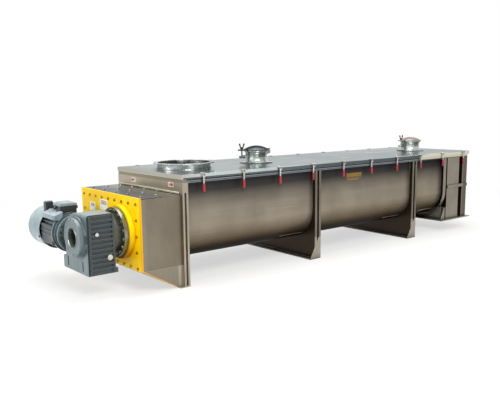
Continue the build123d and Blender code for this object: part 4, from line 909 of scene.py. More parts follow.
# The same enamel on the finned motor: smoother, and darker along its fins.
MOTOR_PAINT = Enamel(
    "motor_slate_enamel", "73868B", "566A70", corner_shade=SLATE_CORNER_SHADE, corner_shade_mm=45.0, corner_shade_share=0.9, edge="A9BCC1",
    edge_mm=2.0, lit_worn_edge_share=0.5, pebble_mm=3.0, pebble_depth_mm=0.15, dust="9FAEB0",
    fades=(Fade(Axis.Y, 480.0, 560.0, "46565B", 0.6),),
)
# The same enamel on thin sheet: lighter, with pale soft painted reflections.
COWL_PAINT = Enamel(
    "fan_cowl_slate_enamel", "869A9F", "6A7F85", corner_shade=SLATE_CORNER_SHADE, corner_shade_mm=45.0, corner_shade_share=0.8, edge="C2D0D3",
    edge_mm=2.0, lit_worn_edge_share=0.5, pebble_mm=3.0, pebble_depth_mm=0.15, dust="C0CCCE", dust_share=0.5,
    painted_reflections=(PaintedReflection("B9C8CB", (90.0, 90.0, 260.0), (0.55, 0.66), 0.6),),
)
# Dark enamel of the terminal boxes: nearly black sides under a top that is pale with dust and with painted
# light from above.
BOX_PAINT = Enamel(
    "terminal_box_dark_enamel", "2B3537", "1A2123", corner_shade="060808", corner_shade_mm=30.0, corner_shade_share=0.8,
    edge="6E7C80", edge_mm=2.0, lit_worn_edge_share=0.5, rough=0.45, pebble_mm=3.0, pebble_depth_mm=0.1,
    dust="93A4A6", dust_share=0.9,
    zones=(Zone((-2700.0, 240.0, 787.0), (-2480.0, 430.0, 840.0), "8C9C9F", 0.85),),
)
# The motor's smooth side, painted in shade: dark slate with painted highlights on its edges.
MOTOR_SIDE_PAINT = Enamel(
    "motor_side_dark_slate_enamel", "343F43", "293338", corner_shade=SLATE_CORNER_SHADE, corner_shade_mm=40.0, corner_shade_share=0.7,
    edge="7E9094", edge_mm=2.5, lit_worn_edge_share=0.5, pebble_mm=4.0, pebble_depth_mm=0.3, dust="7C8C90",
    dust_share=0.4, coat=0.1,
)
# Dark grey enamel on the bearing housings: dull, with painted highlights on its edges.
HOUSING_PAINT = Enamel(
    "bearing_housing_enamel", "4A5254", "363D3F", corner_shade="0E1416", corner_shade_mm=45.0, corner_shade_share=0.85,
    edge="A9B4B6", edge_mm=3.0, lit_worn_edge_share=0.5,
)
# Thick enamel on the plate: strong yellow, with painted orange shade at its near edge.
YELLOW_PAINT = Enamel(
    "gear_case_plate_yellow_enamel", "FFDC00", "FFC800", corner_shade="8A4A00", corner_shade_mm=25.0, corner_shade_share=0.35,
    edge="FFE86A", edge_mm=2.0, lit_worn_edge_share=0.3, dust="FFE400", dust_share=0.4, rough=0.4, pebble_mm=8.0,
    pebble_depth_mm=0.1, shine=0.15, coat=0.05, fades=(Fade(Axis.Y, -622.0, -600.0, "E09A00", 0.8),),
)
# The same yellow on the ring: bright on top, and orange-brown with painted shade below.
RING_PAINT = Enamel(
    "drive_ring_yellow_enamel", "FFE000", "FFD000", corner_shade="7A3A00", corner_shade_mm=25.0, corner_shade_share=0.6,
    edge="FFF04A", edge_mm=3.0, lit_worn_edge_share=0.4, dust="FFEE20", dust_share=0.5, rough=0.35, pebble_mm=8.0,
    pebble_depth_mm=0.1, shine=0.25, coat=0.1,
    fades=(Fade(Axis.Z, 330.0, 610.0, "8E4400", 0.95),),
)
# Turned flange: oily grey-green steel with fine rings.
FLANGE_STEEL = TurnedSteel("drive_flange_turned_steel", "A4A698", "6A6C60", centre=(0.0, -SHAFT_Y, SHAFT_Z))
# Turned shaft: pale grey steel with fine rings.
FAR_SHAFT_STEEL = TurnedSteel("far_shaft_turned_steel", centre=(0.0, SHAFT_Y, SHAFT_Z))
# Turned shaft of the motor: the same steel, with rings about the motor's axis.
MOTOR_SHAFT_STEEL = TurnedSteel("motor_shaft_turned_steel", centre=(MOTOR_X, 0.0, MOTOR_Z), axis=Axis.Y)
# Hollow shaft deep in its bore, painted dark brown as shade, with fine rings.
SLEEVE_STEEL = TurnedSteel("hollow_shaft_browned_steel", "5C5450", "2E2826", centre=(0.0, -SHAFT_Y, SHAFT_Z))
# Dipped vinyl: deep red with a soft wet shine.
RED_GRIP = Moulding("clamp_grip_red_dipped_vinyl", "A80C28", "84081C")
# Silicone seal: dull off-white.
SEAL_RUBBER = Moulding("white_food_grade_silicone", "DAD6C8", "B9B4A4", rough=0.55, coat=0.0)
# Nitrile seal: a dull black line under each cover.
BLACK_RUBBER = Moulding("black_nitrile_rubber", "22211F", "141312", rough=0.6, coat=0.0)
# Nylon glands: black with a faint sheen.
GLAND_PLASTIC = Moulding("black_nylon_fittings", "2A2B2C", "18191A", rough=0.45)
# Moulded plug and cap: dull dark red.
DARK_RED_CAP = Moulding("dark_red_moulded_plugs", "6E2420", "3E1512", rough=0.45)
# Blank label film: smooth bright white.
WHITE_FILM = Moulding("blank_white_label_film", "FFFFFF", "F6F4EE", rough=0.3, mottle_mm=60.0, coat=0.5)
# Blank panel on the white film: plain sand.
SAND_PANEL = Moulding("blank_sand_label_panel", "C9BE90", "A89C6A", rough=0.35, mottle_mm=18.0, coat=0.5)
# Blank label on the trough: a dull brown film.
AMBER_FILM = Moulding("blank_amber_label_film", "4E3F26", "43361F", rough=0.4, mottle_mm=60.0, coat=0.3)
# Bands of that label: a plain dark gold.
AMBER_BAND = Moulding("blank_bright_amber_film", "7E5C06", "6C4E04", rough=0.5, mottle_mm=60.0, coat=0.0)
# Film under an arrow: pale pink-grey.
ARROW_FILM = Moulding("blank_pale_arrow_film", "DCCFC4", "C2A8A0", rough=0.35, mottle_mm=14.0, coat=0.3)
# Turning arrow: faded red.
RED_INK = Moulding("red_arrow_film", "B0454A", "8E3238", rough=0.35, coat=0.3)


def deselect_all() -> None:
    """Clear the selection, so that the next operator acts on the new piece alone."""
    bpy.ops.object.select_all(action="DESELECT")
    bpy.context.view_layer.objects.active = None


class Blank:
    """A piece on the bench, shaped with modelling operators until it is done."""

    def __init__(self, piece: bpy.types.Object) -> None:
        """Take an object onto the bench."""
        self.piece = piece

    @classmethod
    def _take(cls, name: str) -> Blank:
        """Name the new primitive and put its place into its mesh.

        Args:
            name: Name of the piece.

        Returns:
            The blank.
        """
        piece = bpy.context.active_object
        piece.name = name
        piece.data.name = name
        bpy.ops.object.transform_apply(location=True, rotation=True, scale=True)
        return cls(piece)

    @classmethod
    def box(cls, name: str, low: Place, high: Place) -> Blank:
        """Start from a box between two corners.

        Args:
            name: Name of the piece.
            low: Lowest corner in millimetres.
            high: Highest corner in millimetres.

        Returns:
            The blank.
        """
        deselect_all()
        middle = (metres(low) + metres(high)) / 2
        bpy.ops.mesh.primitive_cube_add(size=1.0, location=middle)
        bpy.context.active_object.scale = metres(high) - metres(low)
        return cls._take(name)

    @classmethod
    def rod(cls, name: str, start: Place, axis: Axis, radius: float, length: float, sides: int = 24) -> Blank:
        """Start from a round bar.

        Args:
            name: Name of the piece.
            start: Centre of its first end in millimetres.
            axis: Direction it points along.
            radius: Its radius in millimetres.
            length: Its length in millimetres.
            sides: Number of its sides.

        Returns:
            The blank.
        """
        deselect_all()
        middle = metres(start) + axis.step() * length * MM / 2
        bpy.ops.mesh.primitive_cylinder_add(
            vertices=sides, radius=radius * MM, depth=length * MM, location=middle, rotation=axis.value
        )
        return cls._take(name)

    @classmethod
    def ring(
        cls,
        name: str,
        centre: Place,
        axis: Axis,
        radius: float,
        wire: float,
        sides: int = 48,
        wire_sides: int = 10,
    ) -> Blank:
        """Start from a round wire ring.

        Args:
            name: Name of the piece.
            centre: Its centre in millimetres.
            axis: Direction it faces.
            radius: Radius of the ring's centreline in millimetres.
            wire: Radius of the wire in millimetres.
            sides: Sides of the ring.
            wire_sides: Sides of the wire.

        Returns:
            The blank.
        """
        deselect_all()
        bpy.ops.mesh.primitive_torus_add(
            major_radius=radius * MM, minor_radius=wire * MM, major_segments=sides, minor_segments=wire_sides,
            location=metres(centre), rotation=axis.value,
        )
        return cls._take(name)

    def _edit(self) -> bmesh.types.BMesh:
        """Go into edit mode on this piece alone.

        Returns:
            Its mesh for editing.
        """
        deselect_all()
        self.piece.select_set(True)
        bpy.context.view_layer.objects.active = self.piece
        bpy.ops.object.mode_set(mode="EDIT")
        return bmesh.from_edit_mesh(self.piece.data)

    def faces(self, test: Test) -> Blank:
        """Select the faces whose centre (in millimetres) and normal pass a test, and stay in edit mode.

        Args:
            test: Takes centre and normal, and says whether the face is taken.

        Returns:
            This blank.
        """
        mesh = self._edit()
        bpy.ops.mesh.select_mode(type="FACE")
        for face in mesh.faces:
            face.select_set(test(face.calc_center_median() / MM, face.normal))
        mesh.select_flush_mode()
        bmesh.update_edit_mesh(self.piece.data)
        return self

    def edges(self, test: Test) -> Blank:
        """Select the edges whose middle (in millimetres) and direction pass a test, and stay in edit mode.

        Args:
            test: Takes middle and direction, and says whether the edge is taken.

        Returns:
            This blank.
        """
        mesh = self._edit()
        bpy.ops.mesh.select_mode(type="EDGE")
        for edge in mesh.edges:
            first, last = edge.verts
            edge.select_set(test((first.co + last.co) / 2 / MM, (last.co - first.co).normalized()))
        mesh.select_flush_mode()
        bmesh.update_edit_mesh(self.piece.data)
        return self

    def inset(self, thickness: float, depth: float = 0.0) -> Blank:
        """Inset the selected faces, sinking or raising them.

        Args:
            thickness: Width of the border in millimetres.
            depth: Height of the inner face in millimetres, negative to sink it.

        Returns:
            This blank.
        """
        bpy.ops.mesh.inset(thickness=thickness * MM, depth=depth * MM)
        return self

    def extrude(self, move: Place) -> Blank:
        """Extrude the selected faces by a step in millimetres."""
        bpy.ops.mesh.extrude_region_move(TRANSFORM_OT_translate={"value": metres(move)})
        return self

    def grow(self, factors: Place, about: Place) -> Blank:
        """Scale what is selected about a point.

        Args:
            factors: Scale along each axis.
            about: The point in millimetres.

        Returns:
            This blank.
        """
        bpy.ops.transform.resize(value=factors, center_override=metres(about))
        return self

    def done(self) -> Blank:
        """Leave edit mode."""
        bpy.ops.object.mode_set(mode="OBJECT")
        return self

    def rounded(self, width: float, segments: int = 2, angle: float = 30.0) -> Blank:
        """Round every sharp edge with a bevel modifier that is applied.

        Args:
            width: Width in millimetres.
            segments: Number of steps in the round.
            angle: Edges sharper than this are rounded, in degrees.

        Returns:
            This blank.
        """
        deselect_all()
        self.piece.select_set(True)
        bpy.context.view_layer.objects.active = self.piece
        bevel = self.piece.modifiers.new("round", "BEVEL")
        bevel.width = width * MM
        bevel.segments = segments
        bevel.limit_method = "ANGLE"
        bevel.angle_limit = math.radians(angle)
        bpy.ops.object.modifier_apply(modifier=bevel.name)
        return self

    def turned(self, angle: float, axis: Axis, about: Place) -> Blank:
        """Turn the piece's mesh about a point.

        Args:
            angle: Angle in degrees, by the right-hand rule.
            axis: What it turns about.
            about: The point in millimetres.

        Returns:
            This blank.
        """
        centre = Matrix.Translation(metres(about))
        turn = Matrix.Rotation(math.radians(angle), 4, axis.name)
        self.piece.data.transform(centre @ turn @ centre.inverted())
        return self

    def rippled(self, rise: float, rate: float) -> Blank:
        """Raise and lower the vertices like the ripples of a weld.

        Args:
            rise: Height of a ripple in millimetres.
            rate: How far its wave goes from one vertex to the next, in radians.

        Returns:
            This blank.
        """
        for n, vertex in enumerate(self.piece.data.vertices):
            vertex.co.z += rise * MM * math.sin(n * rate)
        return self

    def copy(self, name: str, step: Place = (0.0, 0.0, 0.0)) -> Blank:
        """Copy the piece with its own mesh.

        Args:
            name: Name of the copy.
            step: Where the copy goes from here, in millimetres.

        Returns:
            The copy.
        """
        twin = self.piece.copy()
        twin.data = self.piece.data.copy()
        twin.name = name
        twin.data.name = name
        bpy.context.scene.collection.objects.link(twin)
        twin.data.transform(Matrix.Translation(metres(step)))
        return Blank(twin)

    def join(self, others: list[Blank]) -> Blank:
        """Join other blanks into this one.

        Args:
            others: The blanks that become part of this piece.

        Returns:
            This blank.
        """
        deselect_all()
        for other in others:
            other.piece.select_set(True)
        self.piece.select_set(True)
        bpy.context.view_layer.objects.active = self.piece
        bpy.ops.object.join()
        return self

    def dress(self, finish: Finish, body: str, slot: str = "", smooth: float = 35.0) -> bpy.types.Object:
        """Give the piece its finish and the body that it moves with.

        Args:
            finish: Its finish.
            body: Body of the frame that it rides on.
            slot: Not used.
            smooth: Edges flatter than this are shaded smooth, in degrees.

        Returns:
            The finished object.
        """
        deselect_all()
        self.piece.select_set(True)
        bpy.context.view_layer.objects.active = self.piece
        bpy.ops.object.shade_smooth_by_angle(angle=math.radians(smooth))
        self.piece.data.materials.clear()
        self.piece.data.materials.append(finish.material())
        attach(self.piece, body)
        return self.piece

    def discard(self) -> None:
        """Remove a pattern piece that was only copied from."""
        bpy.data.objects.remove(self.piece)


@dataclass
class DressedNodes:
    """The CAD nodes that keep their shape, each with its metal or paint."""

    finishes: dict[str, Finish] = field(
        default_factory=lambda: {
            "trough_rim": RIM_SHEET,
            "tail_end_plate": TAIL_STEEL,
            "discharge_chute": TAIL_STEEL,
            "tail_bearing_frame": TAIL_STEEL,
            "lid": LID_SHEET,
            "inlet_collar": INLET_STEEL,
            "front_manway_cover": FRONT_DOME,
            "rear_manway_cover": REAR_DOME,
            "drive_support_frame": DRIVE_FRAME,
            "drive_ring": RING_PAINT,
            "drive_bolts": CASE_BOLTS,
            "output_sleeve": SLEEVE_STEEL,
            "gear_unit_flange": FLANGE_STEEL,
            "motor_frame": MOTOR_PAINT,
            "fan_cowl": COWL_PAINT,
            "terminal_boxes": BOX_PAINT,
            "far_rotor_shaft": FAR_SHAFT_STEEL,
            "motor_rotor": MOTOR_SHAFT_STEEL,
            "front_wing_nut": DARK_STEEL,
            "rear_wing_nut": DARK_STEEL,
            "clamp_brackets": CLAMP_STEEL,
        }
    )
    slots: dict[str, Finish] = field(
        default_factory=lambda: {
            "stainless_sheet": TROUGH_SHEET,
            "stainless_frame": FRAME_STEEL,
            "stainless_case": CASE_STEEL,
            "dark_cover": COVER_STEEL,
            "yellow_paint": YELLOW_PAINT,
            "drive_paint": DRIVE_PAINT,
            "machined_steel": FLANGE_STEEL,
            "paddle_steel": PADDLE_STEEL,
            "gear_steel": GEAR_STEEL,
            "cast_housing": HOUSING_PAINT,
            "polished_steel": POLISHED,
            "bolt_steel": BOLT_STEEL,
            "seal_rubber": SEAL_RUBBER,
            "clamp_red": RED_GRIP,
        }
    )

    def dress(self) -> None:
        """Give each CAD node its own finish, or the one of its record slot."""
        parts = {part["node"]: part["material_slot"] for part in frame["record"]["subparts"]}
        for name, piece in frame["nodes"].items():
            finish = self.finishes.get(name) or self.slots[parts[name]]
            piece.data.materials.clear()
            piece.data.materials.append(finish.material())
        LOG.info("dressed %d CAD nodes", len(frame["nodes"]))


def bolt(name: str, place: Place, axis: Axis, across: float, height: float, washer: float = 2.5) -> Blank:
    """Model a hexagon bolt head with its washer, chamfer and dished top.

    Args:
        name: Name of the piece.
        place: Centre of the washer's seat in millimetres.
        axis: Direction that the head points along.
        across: Width across the flats in millimetres.
        height: Height of the head in millimetres, negative to point backwards.
        washer: Thickness of the washer in millimetres.

    Returns:
        The blank.
    """
    step = axis.step()
    way = 1.0 if height > 0 else -1.0
    foot = Vector(place)
    radius = across / math.sqrt(3)
    seat = foot if way > 0 else foot - step * washer
    disc = Blank.rod(name, tuple(seat), axis, across * 0.95, washer, 20).rounded(washer * 0.3, 1)
    start = foot + step * (washer if way > 0 else height)
    head = Blank.rod(f"{name}_head", tuple(start), axis, radius, abs(height) - washer, 6)
    top = foot + step * height
    head.faces(lambda c, n: n.dot(step) * way > 0.9 and (c - top).length < across)
    head.inset(across * 0.07, 0.0).inset(across * 0.05, abs(height) * 0.08)
    head.inset(across * 0.1, -abs(height) * 0.1).done()
    return disc.join([head])


def weld_bead(name: str, low: Place, high: Place, radius: float = 5.0, pitch: float = 14.0) -> Blank:
    """Model a straight fillet weld with its ripples.

    Args:
        name: Name of the piece.
        low: One end of its line in millimetres.
        high: The other end in millimetres.
        radius: Radius of the bead in millimetres.
        pitch: Distance between its ripples in millimetres.

    Returns:
        The blank.
    """
    run = Vector(high) - Vector(low)
    place = max(range(3), key=lambda n: abs(run[n]))
    start = low if run[place] > 0 else high
    bead = Blank.rod(name, start, Axis[LETTERS[place]], radius, run.length, 8)
    bead.edges(lambda m, d: abs(d[place]) > 0.9)
    bpy.ops.mesh.subdivide(number_cuts=max(2, int(run.length / pitch)))
    bead.done()
    ripple, uneven = 0.14, 0.05
    for n, vertex in enumerate(bead.piece.data.vertices):
        along = (vertex.co[place] / MM - start[place]) / pitch
        swell = 1.0 + ripple * math.sin(along * math.pi) + uneven * math.sin(n * 1.7)
        for other in range(3):
            if other != place:
                centre = low[other] * MM
                vertex.co[other] = centre + (vertex.co[other] - centre) * swell
    return bead


@dataclass
class LidClamps:
    """The lever clamps along both sides of the lid: steel lever, red ribbed grip, hook and screws."""

    first_x: float = -1590.0
    pitch: float = 500.0
    count: int = 10
    pivot_y: float = -663.0
    pivot_z: float = 1078.0
    knuckle_r: float = 9.0
    knuckle_w: float = 18.0
    arm_t: float = 6.0
    arm_w: float = 17.0
    arm_low: float = 1000.0
    grip_r: float = 15.0
    grip_flat: float = 0.86
    grip_low: float = 925.0
    grip_high: float = 1004.0
    rings: int = 7
    nose_top: float = 1022.7
    nose_y: float = -628.0
    hook_wire: float = 3.2
    hook_half: float = 13.0
    hook_front: float = -669.0
    strap_top: float = 1107.0
    strap_half: float = 3.0
    bridge_y: float = -634.0
    screw_af: float = 7.0
    screw_h: float = 4.5
    screw_x: float = 6.5
    screw_y: float = -640.0

    def _lever(self) -> Blank:
        """Model the steel part of one lever.

        Returns:
            The blank of the first near lever.
        """
        x = self.first_x
        barrel = Blank.rod(
            "clamp_lever_steel", (x - self.knuckle_w / 2, self.pivot_y, self.pivot_z), Axis.X, self.knuckle_r,
            self.knuckle_w, 28,
        )
        barrel.faces(lambda c, n: abs(n.x) > 0.9).inset(2.0, 0.6).inset(1.6, -1.4).done().rounded(0.5, 1)
        arm = Blank.box(
            "clamp_arm",
            (x - self.arm_w / 2, self.pivot_y - self.arm_t / 2, self.arm_low),
            (x + self.arm_w / 2, self.pivot_y + self.arm_t / 2, self.pivot_z - self.knuckle_r / 2),
        )
        arm.faces(lambda c, n: n.y < -0.9).inset(2.5, -1.6).done()
        arm.faces(lambda c, n: n.z < -0.9).grow((0.75, 1.0, 1.0), (x, self.pivot_y, self.arm_low)).done()
        arm.rounded(0.9, 2)
        nose = Blank.box(
            "clamp_nose",
            (x - self.arm_w / 2, self.pivot_y - self.arm_t / 2, self.nose_top - 14.0),
            (x + self.arm_w / 2, self.nose_y - 5.0, self.nose_top - 4.0),
        )
        nose.faces(lambda c, n: n.y > 0.9).extrude((0.0, 4.6, 3.6)).done()
        nose.faces(lambda c, n: n.z > 0.9 and c.y < self.nose_y - 6).inset(2.2, -1.0).done().rounded(1.2, 2)
        return barrel.join([arm, nose])

    def _grip(self) -> Blank:
        """Model the dipped grip with its finger rings and its domed end.

        Returns:
            The blank of the first near grip.
        """
        x = self.first_x
        length = self.grip_high - self.grip_low
        foot = (x, self.pivot_y, self.grip_low)
        grip = Blank.rod("clamp_grip", foot, Axis.Z, self.grip_r * self.grip_flat, length, 28)
        grip.edges(lambda m, d: abs(d.z) > 0.9)
        bpy.ops.mesh.subdivide(number_cuts=self.rings * 4 - 1)
        grip.done()
        step = length / (self.rings * 4)
        for ring in range(self.rings):
            for part, factor in ((1, 1.1), (2, 1.16), (3, 1.1)):
                level = self.grip_low + step * (ring * 4 + part)
                grip.edges(lambda m, d, z=level: abs(m.z - z) < step / 4 and abs(d.z) < 0.1)
                grip.grow((factor, factor, 1.0), (x, self.pivot_y, level)).done()
        grip.faces(lambda c, n: n.z < -0.9).inset(2.2, 1.4).inset(2.4, 0.8).done()
        grip.faces(lambda c, n: n.z > 0.9).inset(1.4, 1.2).done()
        for vertex in grip.piece.data.vertices:
            flat = vertex.co.y / MM - self.pivot_y
            vertex.co.y = (self.pivot_y + flat * self.grip_flat) * MM
        return grip

    def _hook(self) -> Blank:
        """Model the hook that reaches from the knuckle over the lid's edge, with its two screws.

        Returns:
            The blank of the first near hook.
        """
        x, top = self.first_x, self.strap_top
        pieces = []
        for side in (-1, 1):
            seat = (x + side * self.screw_x, self.screw_y, top)
            screw = bolt("clamp_screw", seat, Axis.Z, self.screw_af, self.screw_h, 1.0)
            edge = x + side * self.hook_half - self.hook_wire
            ear = Blank.box(
                "clamp_ear_rib",
                (edge, self.hook_front, top - self.strap_half),
                (edge + self.hook_wire * 2, self.bridge_y, top + self.strap_half),
            ).rounded(1.6, 3)
            pieces += [screw, ear]
        bridge = Blank.box(
            "clamp_hook",
            (x - self.hook_half, self.bridge_y, top - self.strap_half),
            (x + self.hook_half, self.nose_y, top + 4.0),
        )
        bridge.faces(lambda c, n: n.z > 0.9).inset(2.0, 1.2).done().rounded(1.2, 2)
        return bridge.join(pieces)

    def build(self) -> None:
        """Model one clamp, then copy it along both sides."""
        lever, grip, hook = self._lever(), self._grip(), self._hook()
        for side, turn in (("near", 0.0), ("far", 180.0)):
            for n in range(self.count):
                step = (self.pitch * n, 0.0, 0.0)
                about = (self.first_x + self.pitch * n, 0.0, 0.0)
                body = f"clamp_lever_{side}_{n + 1:02d}"
                steel = lever.copy(f"lever_{side}_{n + 1:02d}", step).turned(turn, Axis.Z, about)
                piece = steel.dress(CLAMP_STEEL, body, "polished_steel")
                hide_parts(body)
                red = grip.copy(f"grip_{side}_{n + 1:02d}", step).turned(turn, Axis.Z, about)
                red.dress(RED_GRIP, body, "clamp_red", 60.0)
                held = hook.copy(f"hook_{side}_{n + 1:02d}", step).turned(turn, Axis.Z, about)
                held.dress(CLAMP_STEEL, "trough", "polished_steel")
        for pattern in (lever, grip, hook):
            pattern.discard()
        LOG.info("built %d lid clamps a side", self.count)


@dataclass
class Manway:
    """The dressing of one manway: weld, rolled rim, seam, seal and the heads of its hinge pin."""

    name: str
    x: float
    lid_top: float = 1103.0
    base_r: float = 188.0
    waist_r: float = 125.0
    waist_z: float = 1183.0
    rim_r: float = 151.0
    rim_z: float = 1241.0
    hinge_x: float = -215.0
    hinge_z: float = 1175.0
    pin_r: float = 11.0
    pin_y: float = 34.0
    pin_head: float = 7.0

    def _neck(self) -> Blank:
        """Model the weld ripples at the foot, the rolled bead at the rim and the seam of the waist.

        Returns:
            The blank.
        """
        weld_at = (self.x, 0.0, self.lid_top + 8.0)
        foot = Blank.ring(f"{self.name}_weld", weld_at, Axis.Z, self.base_r, 5.0, 96, 8).rippled(0.9, 2.3)
        rim = Blank.ring(f"{self.name}_rim", (self.x, 0.0, self.rim_z - 3.0), Axis.Z, self.rim_r, 3.6, 96, 10)
        waist = Blank.ring(f"{self.name}_seam", (self.x, 0.0, self.waist_z), Axis.Z, self.waist_r, 3.0, 72, 8)
        return foot.join([rim, waist])

    def _seal(self) -> Blank:
        """Model the seal ring that sits in the cover's rim.

        Returns:
            The blank.
        """
        place = (self.x, 0.0, self.rim_z + 6.3)
        return Blank.ring(f"{self.name}_seal", place, Axis.Z, self.rim_r - 5.0, 3.2, 96, 8)

    def _fittings(self) -> Blank:
        """Model the two heads of the hinge pin.

        Returns:
            The blank.
        """
        pieces = []
        for side in (-1, 1):
            low_y = self.pin_y if side > 0 else -self.pin_y - self.pin_head
            start = (self.x + self.hinge_x, low_y, self.hinge_z)
            pin = Blank.rod(f"{self.name}_pin", start, Axis.Y, self.pin_r, self.pin_head, 24)
            pin.faces(lambda c, n, s=side: n.y * s > 0.9).inset(3.0, 1.6).inset(2.0, -1.2).done()
            pieces.append(pin.rounded(0.8, 2))
        return pieces[0].join(pieces[1:])

    def build(self) -> None:
        """Model and dress every fitting of this manway."""
        self._neck().dress(POLISHED, "trough", "polished_steel")
        self._seal().dress(BLACK_RUBBER, "trough", "seal_rubber")
        self._fittings().dress(DARK_STEEL, "trough", "bolt_steel")
        LOG.info("dressed %s", self.name)


@dataclass
class FeedInlet:
    """The dressing of the open feed inlet: a weld at its foot and one under its flange."""

    x: float = -1384.0
    neck_r: float = 290.0
    lid_top: float = 1103.0
    flange_z: float = 1163.0

    def build(self) -> None:
        """Model and dress the two welds."""
        foot_at = (self.x, 0.0, self.lid_top + 2.0)
        foot = Blank.ring("inlet_weld", foot_at, Axis.Z, self.neck_r, 5.0, 120, 8).rippled(0.9, 1.9)
        under_at = (self.x, 0.0, self.flange_z - 6.0)
        under = Blank.ring("inlet_flange_weld", under_at, Axis.Z, self.neck_r, 4.0, 120, 8)
        foot.join([under]).dress(INLET_STEEL, "trough", "stainless_sheet")
        LOG.info("dressed the feed inlet")


@dataclass
class TroughDetails:
    """Fillet welds, wall seams and the blank amber label with its two bands on the trough."""

    outer_y: float = 602.0
    post_xs: tuple[float, ...] = (-45.0, 45.0, 1755.0, 1845.0)
    low_z: float = 590.0
    high_z: float = 1020.0
    seam_xs: tuple[float, ...] = (-900.0, 900.0)
    # The label and its bands, each as low x, high x, low z and high z.
    label: tuple[float, float, float, float] = (520.0, 800.0, 856.0, 950.0)
    upper_band: tuple[float, float, float, float] = (528.0, 792.0, 903.0, 946.0)
    lower_band: tuple[float, float, float, float] = (548.0, 744.0, 860.0, 883.0)
    film: float = 0.8
    band: float = 0.5
    seam_half: float = 5.0
    seam_rise: float = 0.8

    def _welds(self) -> Blank:
        """Model the fillet welds between the posts and the trough wall.

        Returns:
            The blank.
        """
        beads = []
        for side in (-1, 1):
            for x in self.post_xs:
                y = side * self.outer_y
                beads.append(weld_bead("post_weld", (x, y, self.low_z), (x, y, self.high_z), 4.0))
        return beads[0].join(beads[1:])

    def _seams(self) -> Blank:
        """Model the ground butt seams of the wall sheets, low and wide.

        Returns:
            The blank.
        """
        seams = []
        for side in (-1, 1):
            for x in self.seam_xs:
                y = side * self.outer_y
                low = (x - self.seam_half, y - self.seam_rise, self.low_z)
                seam = Blank.box("wall_seam", low, (x + self.seam_half, y + self.seam_rise, self.high_z))
                seams.append(seam.rounded(0.7, 2))
        return seams[0].join(seams[1:])

    def _label(self) -> Blank:
        """Model the blank amber film.

        Returns:
            The blank.
        """
        low_x, high_x, low_z, high_z = self.label
        y = -self.outer_y
        label = Blank.box("blank_label", (low_x, y - self.film, low_z), (high_x, y + 0.2, high_z))
        return label.rounded(0.3, 1)

    def _label_bands(self) -> Blank:
        """Model the two brighter bands on the amber film.

        Returns:
            The blank.
        """
        y = -self.outer_y - self.film
        low_x, high_x, low_z, high_z = self.upper_band
        upper = Blank.box("label_upper_band", (low_x, y - self.band, low_z), (high_x, y, high_z))
        low_x, high_x, low_z, high_z = self.lower_band
        lower = Blank.box("label_lower_band", (low_x, y - self.band, low_z), (high_x, y, high_z))
        return upper.rounded(0.2, 1).join([lower.rounded(0.2, 1)])

    def build(self) -> None:
        """Model and dress the trough's details."""
        self._welds().dress(WELD, "trough", "stainless_frame")
        self._seams().dress(TROUGH_SHEET, "trough", "stainless_sheet")
        self._label().dress(AMBER_FILM, "trough")
        self._label_bands().dress(AMBER_BAND, "trough")
        LOG.info("built the trough's seams and label")


